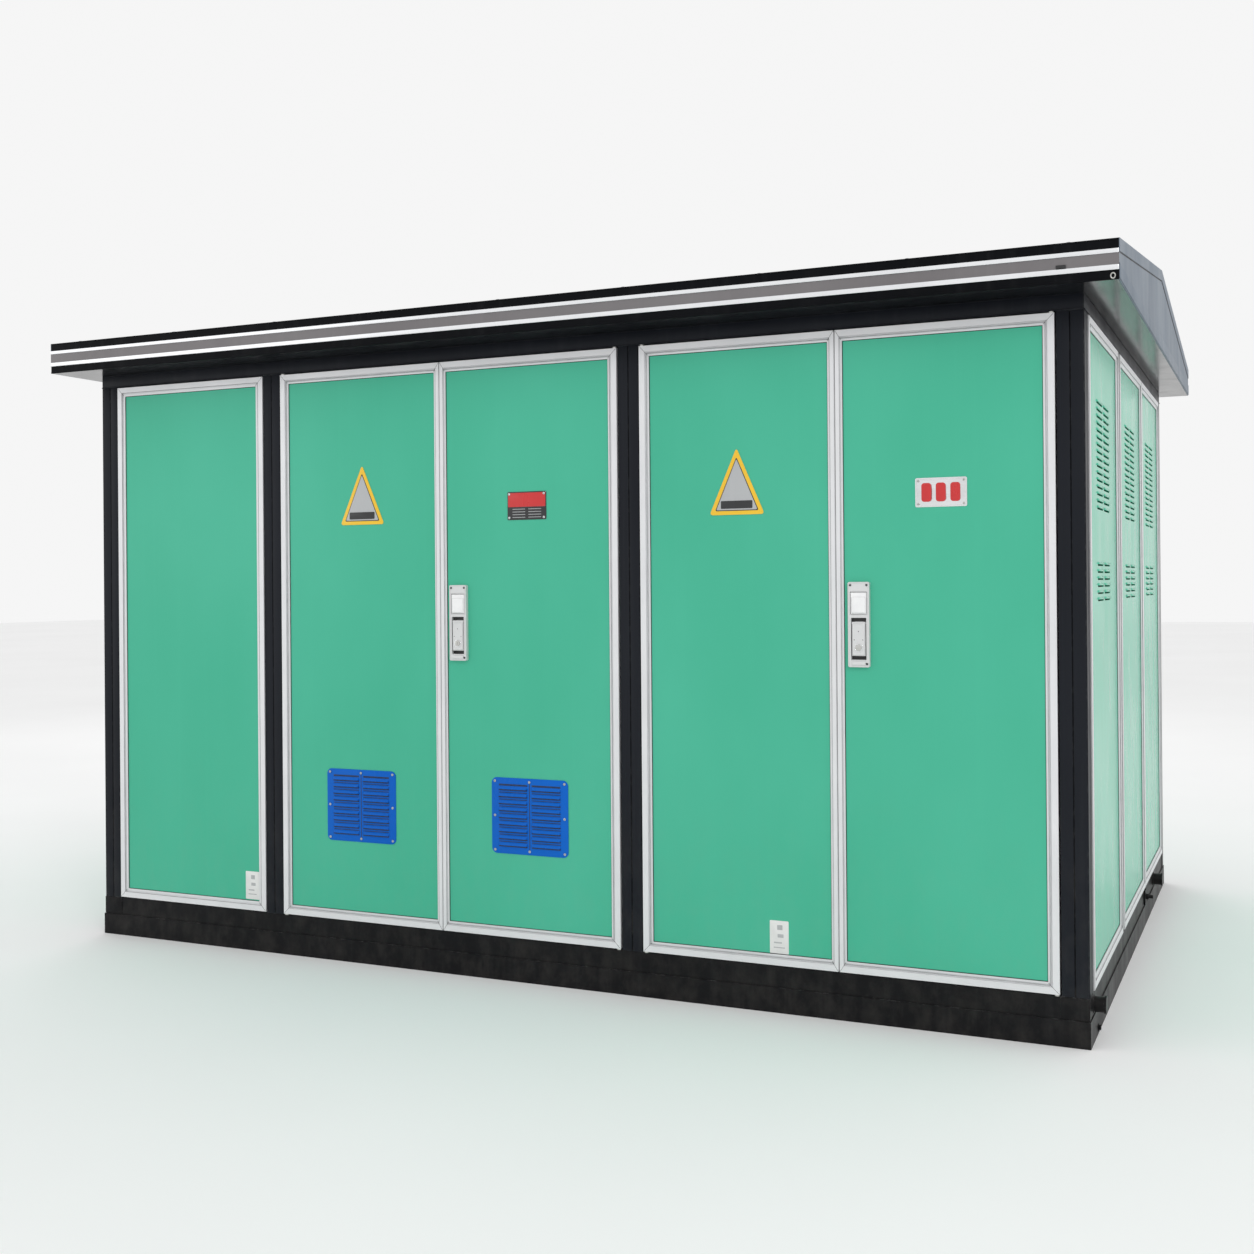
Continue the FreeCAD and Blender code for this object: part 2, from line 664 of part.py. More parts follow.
def fascia_trims():
    strips = []
    for low, height in (TRIM_LOW, TRIM_HIGH):
        strips += front_and_rear(TRIM_PROUD, TRIM_PROUD, (low, low + height))
    return strips


def gable_plates():
    x, edge = OUT_X - SHEET, OUT_Y - SHEET
    outline = [(x, -edge, EAVES_LOW), (x, edge, EAVES_LOW),
               (x, edge, roof_line(edge, 0)), (x, 0, roof_line(0, 0)),
               (x, -edge, roof_line(edge, 0))]
    plate = prism(outline, (SHEET, 0, 0))
    return [plate, mirrored(plate, (1, 0, 0))]


def verge_trims():
    """A raised band along each sloping edge of the gable plates."""
    edge = OUT_Y
    outline = [(OUT_X, -edge, roof_line(edge, 0)), (OUT_X, 0, roof_line(0, 0)),
               (OUT_X, 0, roof_line(0, VERGE_BAND)),
               (OUT_X, -edge, roof_line(edge, VERGE_BAND))]
    band = prism(outline, (VERGE_BAND_T, 0, 0))
    right = [band, mirrored(band, (0, 1, 0))]
    return right + [mirrored(piece, (1, 0, 0)) for piece in right]


# ------------------------------------------------------------------- base fittings
def lifting_trunnions():
    stubs = []
    for from_front in TRUNNION_FROM_FRONT:
        centre = (HALF_L, -HALF_W + from_front, FITTING_Z)
        stub = rod(centre, (1, 0, 0), TRUNNION_R, TRUNNION_LEN)
        tip = (HALF_L + TRUNNION_LEN - TRUNNION_CAP_T, centre[1], FITTING_Z)
        cap = rod(tip, (1, 0, 0), TRUNNION_CAP_R, TRUNNION_CAP_T)
        stubs.append(stub.fuse(cap))
    return stubs + [mirrored(stub, (1, 0, 0)) for stub in stubs]


def earth_terminals():
    y = -HALF_W + EARTH_FROM_FRONT
    side, thick = EARTH_PAD
    pad = box((HALF_L, HALF_L + thick), around(y, side), around(FITTING_Z, side))
    face = (HALF_L + thick, y, FITTING_Z)
    stud, nut = [rod(face, (1, 0, 0), *sizes) for sizes in (EARTH_STUD, EARTH_NUT)]
    terminal = pad.fuse([stud, nut])
    return [terminal, mirrored(terminal, (1, 0, 0))]


# --------------------------------------------------------------------------- locks
class Lock:
    """A flush pull lock on the right-hand leaf of a pair, beside the meeting edge."""

    def __init__(self, name, wall, meeting_edge):
        self.name = name
        self.wall = wall
        self.left = meeting_edge + LOCK_FROM_MEETING
        self.centre = self.left + LOCK_W / 2
        self.meeting_edge = meeting_edge
        self.face = wall.front - LEAF_PROUD + PANEL_RECESS
        self.top = LOCK_LOW + LOCK_H
        self.tongue_y = self.face - POCKET_FLOOR - TONGUE_BACK - TONGUE_T / 2

    def tongue(self, width, height, down):
        """Lever or flap: a slab with a rounded, bored top end."""
        radius = TONGUE_T / 2
        axis_z = self.top - down - radius
        y = around(self.tongue_y, TONGUE_T)
        x = around(self.centre, width)
        slab = box(x, y, (self.top - down - height, axis_z))
        knuckle = rod((x[0], self.tongue_y, axis_z), (1, 0, 0), radius, width)
        bore = rod((x[0] - 1, self.tongue_y, axis_z), (1, 0, 0),
                   LOCK_PIN_R + RUN_FIT, width + 2)
        return self.wall.place(slab.fuse(knuckle).cut(bore))

    def lever(self):
        return self.tongue(LEVER_W, LEVER_H, LEVER_DOWN)

    def flap(self):
        return self.tongue(FLAP_W, FLAP_H, FLAP_DOWN)

    def pocket(self, width, high, low):
        front = (self.face - LOCK_T - 1, self.face - POCKET_FLOOR)
        return box(around(self.centre, width), front, (low, high))

    def hinge_pin(self, width, down):
        axis_z = self.top - down - TONGUE_T / 2
        centre = (self.centre - width / 2, self.tongue_y, axis_z)
        return rod(centre, (1, 0, 0), LOCK_PIN_R, width)

    def plate(self):
        """Plate with a pocket each for flap and lever, and the case behind it."""
        plate = box((self.left, self.left + LOCK_W), (self.face - LOCK_T, self.face),
                    (LOCK_LOW, self.top))
        corners = [e for e in plate.Edges if abs(e.Length - LOCK_T) < 1e-6]
        plate = plate.makeFillet(LOCK_CORNER_R, corners)
        flap_w, lever_w = FLAP_W + 2 * FLAP_FIT, LEVER_W + 2 * LEVER_FIT
        flap_top, lever_top = self.top - FLAP_DOWN, self.top - LEVER_DOWN
        flap_room = self.pocket(flap_w, flap_top + FLAP_FIT,
                                flap_top - FLAP_H - FLAP_FIT)
        lever_room = self.pocket(lever_w, lever_top + POCKET_MARGIN,
                                 lever_top - LEVER_H - POCKET_MARGIN)
        plate = plate.cut(flap_room).cut(lever_room)
        plate = plate.fuse([self.hinge_pin(flap_w, FLAP_DOWN),
                            self.hinge_pin(lever_w, LEVER_DOWN)])
        return [self.wall.place(plate), self.wall.place(self.case())]

    def bolt_spans(self, clearance):
        back = self.wall.front - LEAF_PROUD + LEAF_T + BOLT_BEHIND
        middle = LOCK_LOW + LOCK_H / 2
        y = (back - clearance, back + BOLT_SECTION[0] + clearance)
        z = (middle - BOLT_SECTION[1] / 2 - clearance,
             middle + BOLT_SECTION[1] / 2 + clearance)
        return y, z

    def case(self):
        x = around(self.centre, CASE_W)
        back = self.face + PANEL_T
        body = box(x, (back, back + CASE_T), around(LOCK_LOW + LOCK_H / 2, CASE_H))
        y, z = self.bolt_spans(SEAT)
        return body.cut(box((x[0] - 1, x[1] + 1), y, z))

    def bolt(self):
        y, z = self.bolt_spans(0)
        return self.wall.place(box((self.meeting_edge, self.centre + CASE_W / 2), y, z))


LOCKS = (
    Lock("transformer_lock", FRONT, MID_RIGHT[0]),
    Lock("lv_lock", FRONT, LV_RIGHT[0]),
    Lock("hv_lock", LEFT, HV_RIGHT[0]),
)


# --------------------------------------------------------------------- transformer
TANK_LOW = PLINTH_TOP + SKID[2]
TANK_HIGH = TANK_LOW + TANK[2]
COVER_TOP = TANK_HIGH + COVER_T
TAP_AT = (TANK_X, TANK_Y + TANK[1] / 2 - TAP_IN, COVER_TOP)


def tank():
    """Open-topped tank on two skids."""
    x, y = around(TANK_X, TANK[0]), around(TANK_Y, TANK[1])
    inner = ((x[0] + TANK_WALL, x[1] - TANK_WALL), (y[0] + TANK_WALL, y[1] - TANK_WALL),
             (TANK_LOW + TANK_WALL, TANK_HIGH + 1))
    body = box(x, y, (TANK_LOW, TANK_HIGH)).cut(box(*inner))
    skids = [box(around(TANK_X + side * (TANK[0] - SKID[0]) / 2, SKID[0]),
                 around(TANK_Y, SKID[1]), (PLINTH_TOP, TANK_LOW)) for side in (-1, 1)]
    return [body] + skids


def cooling_fins():
    """A corrugated wall on each long side of the tank."""
    z = around((TANK_LOW + TANK_HIGH) / 2, FIN_H)
    count = int((TANK[1] - FIN_T) // FIN_PITCH) + 1
    start = TANK_Y - (count - 1) * FIN_PITCH / 2
    face = TANK_X + TANK[0] / 2
    span = (start - FIN_T, start + (count - 1) * FIN_PITCH + FIN_T)
    backing = box((face, face + FIN_WALL), span, z)
    fins = [box((face + FIN_WALL, face + FIN_DEPTH),
                around(start + i * FIN_PITCH, FIN_T), z) for i in range(count)]
    wall = backing.fuse(fins)
    shifted = wall.copy()
    shifted.rotate(Vector(TANK_X, TANK_Y, 0), Vector(0, 0, 1), 180)
    return [wall, shifted]


def tank_cover():
    x = around(TANK_X, TANK[0] + 2 * COVER_LIP)
    y = around(TANK_Y, TANK[1] + 2 * COVER_LIP)
    cover = box(x, y, (TANK_HIGH, COVER_TOP))
    spigot = rod(TAP_AT, (0, 0, 1), SPIGOT_R, SPIGOT_LEN)
    lugs = [box(around(TANK_X, LUG[0]),
                around(TANK_Y + side * (TANK[1] / 2 - LUG_IN), LUG[1]),
                (COVER_TOP, COVER_TOP + LUG[2])) for side in (-1, 1)]
    return [cover, spigot] + lugs


def bushing(x, y, sizes):
    """Shedded insulator with a terminal cap."""
    body_r, shed_r, height, sheds = sizes
    insulator = rod((x, y, COVER_TOP), (0, 0, 1), body_r, height)
    pitch = height / (sheds + 1)
    rings = [rod((x, y, COVER_TOP + (i + 1) * pitch - SHED_T / 2), (0, 0, 1),
                 shed_r, SHED_T) for i in range(sheds)]
    cap = rod((x, y, COVER_TOP + height), (0, 0, 1), CAP_R, CAP_H)
    return insulator.fuse(rings + [cap])


def row(count, pitch, centre):
    return [centre + (i - (count - 1) / 2) * pitch for i in range(count)]


HV_ROW = row(3, HV_PITCH, TANK_Y)
LV_ROW = row(4, LV_PITCH, TANK_Y - HV_PITCH)
HV_CONDUCTOR_Z = COVER_TOP + HV_BUSHING[2] + CAP_H / 2
LV_BUSBAR_Z = COVER_TOP + LV_BUSHING[2] + CAP_H / 2


def bushings(rows, side, sizes):
    return [bushing(TANK_X + side * BUSHING_OUT, y, sizes) for y in rows]


def hv_conductor(y, radius, low):
    high = TANK_X - BUSHING_OUT - CAP_R
    return rod((low, y, HV_CONDUCTOR_Z), (1, 0, 0), radius, high - low)


def lv_busbar(y, clearance, high):
    low = TANK_X + BUSHING_OUT + CAP_R
    return box((low, high), around(y, BUSBAR[0] + 2 * clearance),
               around(LV_BUSBAR_Z, BUSBAR[1] + 2 * clearance))


def partitions():
    """Walls of the transformer room, bored for the conductors."""
    y = (-HALF_W + POST_DEPTH, HALF_W - POST_DEPTH)
    z = (PLINTH_TOP, CROSS_RAIL_LOW)
    hv_wall = box(around(HV_SIDE, PARTITION_T), y, z)
    lv_wall = box(around(LV_SIDE, PARTITION_T), y, z)
    holes = [hv_conductor(at, CONDUCTOR_R + SEAT, HV_GEAR_X[1]) for at in HV_ROW]
    slots = [lv_busbar(at, SEAT, LV_GEAR_X[0]) for at in LV_ROW]
    return [cut_all(hv_wall, holes), cut_all(lv_wall, slots)]


def core():
    """Three limbs between two yokes, standing on the tank floor."""
    low = TANK_LOW + TANK_WALL
    length = 2 * CORE_PITCH + CORE_LIMB
    x = around(TANK_X, CORE_LIMB)
    yokes = [box(x, around(TANK_Y, length), (z, z + CORE_LIMB))
             for z in (low, low + CORE_LIMB + CORE_WINDOW)]
    limbs = [box(x, around(y, CORE_LIMB), (low + CORE_LIMB, low + CORE_LIMB + CORE_WINDOW))
             for y in row(3, CORE_PITCH, TANK_Y)]
    return yokes + limbs


def windings():
    """A coil round each limb, resting on the lower yoke."""
    low = TANK_LOW + TANK_WALL + CORE_LIMB
    inner = CORE_LIMB / math.sqrt(2) + COIL_FIT
    coils = []
    for y in row(3, CORE_PITCH, TANK_Y):
        coil = rod((TANK_X, y, low), (0, 0, 1), COIL_R, CORE_WINDOW - COIL_SHORT)
        coils.append(coil.cut(rod((TANK_X, y, low), (0, 0, 1), inner, CORE_WINDOW)))
    return coils


# -------------------------------------------------------------------- moving handles
def handle(centre, outward, bar):
    """Hub bored for a spigot, with a flat bar; bar is its direction."""
    out, along = Vector(*outward), Vector(*bar)
    base = Vector(*centre) + out * HUB_LIFT
    hub = Part.makeCylinder(HUB_R, SPIGOT_LEN - HUB_LIFT, base, out)
    tip = Vector(*centre) + out * (SPIGOT_LEN - HANDLE_T)
    side = out.cross(along)
    corner = tip - side * HANDLE_W / 2
    reach = along * HANDLE_LEN
    across = side * HANDLE_W
    wire = Part.makePolygon([corner, corner + across, corner + across + reach,
                             corner + reach, corner])
    arm = Part.Face(wire).extrude(out * HANDLE_T)
    bore = Part.makeCylinder(SPIGOT_R + RUN_FIT, SPIGOT_LEN + 1, Vector(*centre), out)
    return hub.fuse(arm).cut(bore)


HV_HANDLE_AT = (HV_GEAR_X[0] - GEAR_WALL, 0.0, PLINTH_TOP + HV_HANDLE_UP)
MAIN_AT = (LV_GEAR_X[0] + MAIN_IN, LV_GEAR_Y[0] - BREAKER[1], PLINTH_TOP + MAIN_UP)


def hv_switchgear():
    """Closed cubicle with three bolted covers; the middle one carries a spigot."""
    y = around(0, HV_GEAR[1])
    z = (PLINTH_TOP, PLINTH_TOP + HV_GEAR[2])
    cubicle = shell(HV_GEAR_X, y, z, GEAR_WALL)
    width = HV_GEAR[1] / HV_GEAR_COVERS
    covers = []
    for centre in row(HV_GEAR_COVERS, width, 0):
        covers.append(box((HV_GEAR_X[0] - GEAR_WALL, HV_GEAR_X[0]),
                          around(centre, width - COVER_GAP),
                          (z[0] + COVER_MARGIN, z[1] - COVER_MARGIN)))
    spigot = rod(HV_HANDLE_AT, (-1, 0, 0), SPIGOT_R, SPIGOT_LEN)
    covers[HV_GEAR_COVERS // 2] = covers[HV_GEAR_COVERS // 2].fuse(spigot)
    return [cubicle] + covers


def lv_cubicle():
    z = (PLINTH_TOP, PLINTH_TOP + LV_GEAR_H)
    return [shell(LV_GEAR_X, LV_GEAR_Y, z, GEAR_WALL)]


def lv_breakers():
    """Main breaker with a spigot for its handle, and a row of feeder breakers."""
    face = LV_GEAR_Y[0]
    main = box(around(MAIN_AT[0], BREAKER[0]), (face - BREAKER[1], face),
               around(MAIN_AT[2], BREAKER[2]))
    main = main.fuse(rod(MAIN_AT, (0, -1, 0), SPIGOT_R, SPIGOT_LEN))
    centre = (LV_GEAR_X[0] + LV_GEAR_X[1]) / 2
    pitch = FEEDER[0] + FEEDER_GAP
    count = int((LV_GEAR_X[1] - LV_GEAR_X[0] - FEEDER_GAP) // pitch)
    feeders = [box(around(x, FEEDER[0]), (face - FEEDER[1], face),
                   around(PLINTH_TOP + FEEDER_UP, FEEDER[2]))
               for x in row(count, pitch, centre)]
    return [main] + feeders


def tap_knob():
    x, y, z = TAP_AT
    reach, width, thick = POINTER
    middle = z + (HUB_LIFT + SPIGOT_LEN) / 2
    knob = rod((x, y, z + HUB_LIFT), (0, 0, 1), KNOB_R, SPIGOT_LEN - HUB_LIFT)
    pointer = box((x, x + KNOB_R + reach), around(y, width), around(middle, thick))
    bore = rod((x, y, z), (0, 0, 1), SPIGOT_R + RUN_FIT, SPIGOT_LEN + 1)
    return knob.fuse(pointer).cut(bore)


# ----------------------------------------------------------------------- the whole
def write_all():
    os.makedirs("parts", exist_ok=True)
    export("base_channels", base_channels())
    export("plinth_rails", plinth_rails())
    export("floor_plates", floor_plates())
    export("corner_posts", corner_posts())
    export("mullions", mullions())
    export("top_rails", top_rails())
    export("partitions", partitions())
    export("roof_frame", roof_frame())
    export("roof_sheets", roof_sheets())
    export("eaves_soffit", eaves_soffit())
    export("fascia_boards", fascia_boards())
    export("fascia_band", fascia_band())
    export("fascia_trims", fascia_trims())
    export("gable_ends", gable_plates() + verge_trims())
    export("lifting_trunnions", lifting_trunnions())
    export("earth_terminals", earth_terminals())
    frames, panels = fixed_panels()
    export("fixed_frames", frames)
    export("fixed_panels", panels)
    pins = []
    for leaf in LEAVES:
        export(leaf.name + "_frame", leaf.frame())
        export(leaf.name + "_panel", [leaf.panel()])
        pins += leaf.pins()
    export("pivot_pins", pins)
    export("louvre_plate_left", [louvre_plate(MID_LEFT)])
    export("louvre_plate_right", [louvre_plate(MID_RIGHT)])
    for lock in LOCKS:
        export(lock.name + "_body", lock.plate())
        export(lock.name + "_lever", [lock.lever()])
        export(lock.name + "_flap", [lock.flap()])
        export(lock.name + "_bolt", [lock.bolt()])
    export("transformer_tank", tank())
    export("cooling_fins", cooling_fins())
    export("tank_cover", tank_cover())
    export("tap_knob", [tap_knob()])
    export("transformer_core", core())
    export("transformer_windings", windings())
    export("hv_bushings", bushings(HV_ROW, -1, HV_BUSHING))
    export("lv_bushings", bushings(LV_ROW, 1, LV_BUSHING))
    export("hv_conductors", [hv_conductor(y, CONDUCTOR_R, HV_GEAR_X[1]) for y in HV_ROW])
    export("lv_busbars", [lv_busbar(y, 0, LV_GEAR_X[0]) for y in LV_ROW])
    export("hv_switchgear", hv_switchgear())
    export("hv_switch_handle", [handle(HV_HANDLE_AT, (-1, 0, 0), (0, 0, -1))])
    export("lv_cubicle", lv_cubicle())
    export("lv_breakers", lv_breakers())
    export("lv_main_handle", [handle(MAIN_AT, (0, -1, 0), (0, 0, -1))])


write_all()
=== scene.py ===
"""Prefabricated transformer kiosk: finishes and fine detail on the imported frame.

Lengths are metres. The front faces -Y, X runs along the length and Z is up.
"""

import logging
import math
from dataclasses import dataclass, field
from enum import Enum
from typing import Callable, Iterable, Optional, Sequence

import bpy
from mathutils import Matrix, Vector


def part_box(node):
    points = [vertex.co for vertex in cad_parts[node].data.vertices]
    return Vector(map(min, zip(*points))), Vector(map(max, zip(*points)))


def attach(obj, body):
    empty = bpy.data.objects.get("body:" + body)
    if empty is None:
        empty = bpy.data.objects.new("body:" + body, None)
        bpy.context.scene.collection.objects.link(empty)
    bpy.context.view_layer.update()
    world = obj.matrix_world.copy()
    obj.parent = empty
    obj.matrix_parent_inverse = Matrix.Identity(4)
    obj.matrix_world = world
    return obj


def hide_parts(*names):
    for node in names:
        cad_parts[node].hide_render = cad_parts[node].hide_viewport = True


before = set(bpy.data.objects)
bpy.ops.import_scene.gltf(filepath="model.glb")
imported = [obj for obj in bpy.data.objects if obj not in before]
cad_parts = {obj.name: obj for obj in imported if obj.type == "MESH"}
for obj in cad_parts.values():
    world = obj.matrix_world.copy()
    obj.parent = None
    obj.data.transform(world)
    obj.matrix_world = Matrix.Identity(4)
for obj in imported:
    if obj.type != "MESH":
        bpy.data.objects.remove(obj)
LOG = logging.getLogger("kiosk")
Colour = tuple[float, float, float]
Point = tuple[float, float, float]


# ----------------------------------------------------------------------------
# Modelling tools
# ----------------------------------------------------------------------------
def deselect() -> None:
    """Leave nothing selected, in object mode."""
    if bpy.context.object and bpy.context.object.mode != "OBJECT":
        bpy.ops.object.mode_set(mode="OBJECT")
    bpy.ops.object.select_all(action="DESELECT")


def activate(piece: bpy.types.Object) -> None:
    """Make a piece the only selected object, and the active one."""
    deselect()
    piece.select_set(True)
    bpy.context.view_layer.objects.active = piece


def settle(piece: bpy.types.Object) -> bpy.types.Object:
    """Apply a piece's transform, so that its place is in its mesh."""
    activate(piece)
    bpy.ops.object.transform_apply(location=True, rotation=True, scale=True)
    return piece


def block(low: Sequence[float], high: Sequence[float]) -> bpy.types.Object:
    """Add a box between two corners.

    Args:
        low: The lowest corner.
        high: The highest corner.

    Returns:
        The new object, its transform applied.
    """
    deselect()
    middle = [(a + b) / 2 for a, b in zip(low, high)]
    bpy.ops.mesh.primitive_cube_add(size=1, location=middle)
    piece = bpy.context.object
    piece.scale = [b - a for a, b in zip(low, high)]
    return settle(piece)


def barrel(
    start: Sequence[float],
    axis: Sequence[float],
    radius: float,
    length: float,
    sides: int = 24,
    end_radius: Optional[float] = None,
) -> bpy.types.Object:
    """Add a cylinder or cone frustum from a start point along an axis.

    Args:
        start: Centre of the first end.
        axis: Direction of the length.
        radius: Radius at the first end.
        length: Distance between the ends.
        sides: Number of flat sides.
        end_radius: Radius at the far end, if it differs.

    Returns:
        The new object, its transform applied.
    """
    deselect()
    along = Vector(axis).normalized()
    middle = Vector(start) + along * length / 2
    turn = along.to_track_quat("Z", "Y").to_euler()
    far = radius if end_radius is None else end_radius
    bpy.ops.mesh.primitive_cone_add(
        vertices=sides, radius1=radius, radius2=far, depth=length,
        location=middle, rotation=turn,
    )
    return settle(bpy.context.object)


def soften(piece: bpy.types.Object, width: float, steps: int = 2, angle: float = 30.0) -> bpy.types.Object:
    """Round a piece's sharp edges with an applied bevel.

    Args:
        piece: The object to round.
        width: Bevel width.
        steps: Number of segments across the bevel.
        angle: Edges sharper than this many degrees are rounded.

    Returns:
        The same object.
    """
    activate(piece)
    bevel = piece.modifiers.new("soften", "BEVEL")
    bevel.width = width
    bevel.segments = steps
    bevel.limit_method = "ANGLE"
    bevel.angle_limit = math.radians(angle)
    bevel.harden_normals = False
    bpy.ops.object.modifier_apply(modifier=bevel.name)
    bpy.ops.object.shade_smooth_by_angle(angle=math.radians(35))
    return piece


def carve(piece: bpy.types.Object, cutter: bpy.types.Object) -> bpy.types.Object:
    """Cut one object out of another and delete the cutter."""
    activate(piece)
    cut = piece.modifiers.new("carve", "BOOLEAN")
    cut.operation = "DIFFERENCE"
    cut.object = cutter
    cut.solver = "EXACT"
    bpy.ops.object.modifier_apply(modifier=cut.name)
    bpy.data.objects.remove(cutter, do_unlink=True)
    return piece


def merge(pieces: Sequence[bpy.types.Object]) -> bpy.types.Object:
    """Join several objects into the first one."""
    activate(pieces[0])
    for piece in pieces[1:]:
        piece.select_set(True)
    if len(pieces) > 1:
        bpy.ops.object.join()
    return bpy.context.object


def repeat(pattern: bpy.types.Object, places: Iterable[Matrix]) -> list[bpy.types.Object]:
    """Copy a pattern, each copy with its own mesh, and delete the pattern.

    Args:
        pattern: The object to copy.
        places: One matrix for each copy, applied to its mesh.

    Returns:
        The copies.
    """
    copies = []
    for matrix in places:
        copy = pattern.copy()
        copy.data = pattern.data.copy()
        copy.data.transform(matrix)
        bpy.context.collection.objects.link(copy)
        copies.append(copy)
    bpy.data.objects.remove(pattern, do_unlink=True)
    return copies


def shift(x: float = 0.0, y: float = 0.0, z: float = 0.0) -> Matrix:
    """A translation matrix."""
    return Matrix.Translation((x, y, z))


def select_faces(piece: bpy.types.Object, wanted: Callable[[bpy.types.MeshPolygon], bool]) -> None:
    """Select the faces of a mesh that pass a test, and enter edit mode on them."""
    activate(piece)
    bpy.ops.object.mode_set(mode="EDIT")
    bpy.ops.mesh.select_mode(type="FACE")
    bpy.ops.mesh.select_all(action="DESELECT")
    bpy.ops.object.mode_set(mode="OBJECT")
    for face in piece.data.polygons:
        face.select = wanted(face)
    bpy.ops.object.mode_set(mode="EDIT")


def leave_edit() -> None:
    """Return to object mode."""
    bpy.ops.object.mode_set(mode="OBJECT")


def ring(
    span: Sequence[float], height: Sequence[float], width: float, depth: Sequence[float],
    rounding: float = 0.0006, corner: float = 0.0,
) -> bpy.types.Object:
    """A flat rectangular ring that faces -Y, with mitred or rounded corners.

    Args:
        span: Lowest and highest X of the outer edge.
        height: Lowest and highest Z of the outer edge.
        width: Visible width of the ring.
        depth: Y of its front and of its back.
        rounding: Bevel width of its edges.
        corner: Radius of the outer corners, 0 for mitred ones.

    Returns:
        The new object.
    """
    deselect()
    middle = ((span[0] + span[1]) / 2, depth[1], (height[0] + height[1]) / 2)
    bpy.ops.mesh.primitive_plane_add(size=1, location=middle, rotation=(math.pi / 2, 0, 0))
    piece = bpy.context.object
    piece.scale = (span[1] - span[0], height[1] - height[0], 1)
    settle(piece)
    bpy.ops.object.mode_set(mode="EDIT")
    bpy.ops.mesh.select_all(action="SELECT")
    if corner:
        bpy.ops.mesh.bevel(offset=corner, segments=6, affect="VERTICES")
        bpy.ops.mesh.select_all(action="SELECT")
    bpy.ops.mesh.inset(thickness=width, use_even_offset=True)
    bpy.ops.mesh.delete(type="FACE")
    bpy.ops.mesh.select_all(action="SELECT")
    bpy.ops.mesh.extrude_region_move(
        TRANSFORM_OT_translate={"value": (0, depth[0] - depth[1], 0)}
    )
    bpy.ops.mesh.select_all(action="SELECT")
    bpy.ops.mesh.normals_make_consistent(inside=False)
    leave_edit()
    return soften(piece, rounding) if rounding else piece


def screw(radius: float, height: float) -> bpy.types.Object:
    """A domed cross-slotted screw head at the origin that points along -Y."""
    head = soften(barrel((0, 0, 0), (0, -1, 0), radius, height, 20), height * 0.45, 3)
    arm, half = radius * 0.62, radius * 0.13
    for low, high in (((-arm, -height * 1.5, -half), (arm, -height * 0.5, half)),
                      ((-half, -height * 1.5, -arm), (half, -height * 0.5, arm))):
        carve(head, block(low, high))
    return head


def bolt_head(radius: float, height: float) -> bpy.types.Object:
    """A hexagon head on a washer, at the origin, pointing along -Y."""
    washer = soften(barrel((0, 0, 0), (0, -1, 0), radius * 1.5, height * 0.25, 24), height * 0.08, 2)
    head = soften(barrel((0, -height * 0.25, 0), (0, -1, 0), radius, height * 0.75, 6), height * 0.1, 2)
    return merge([washer, head])


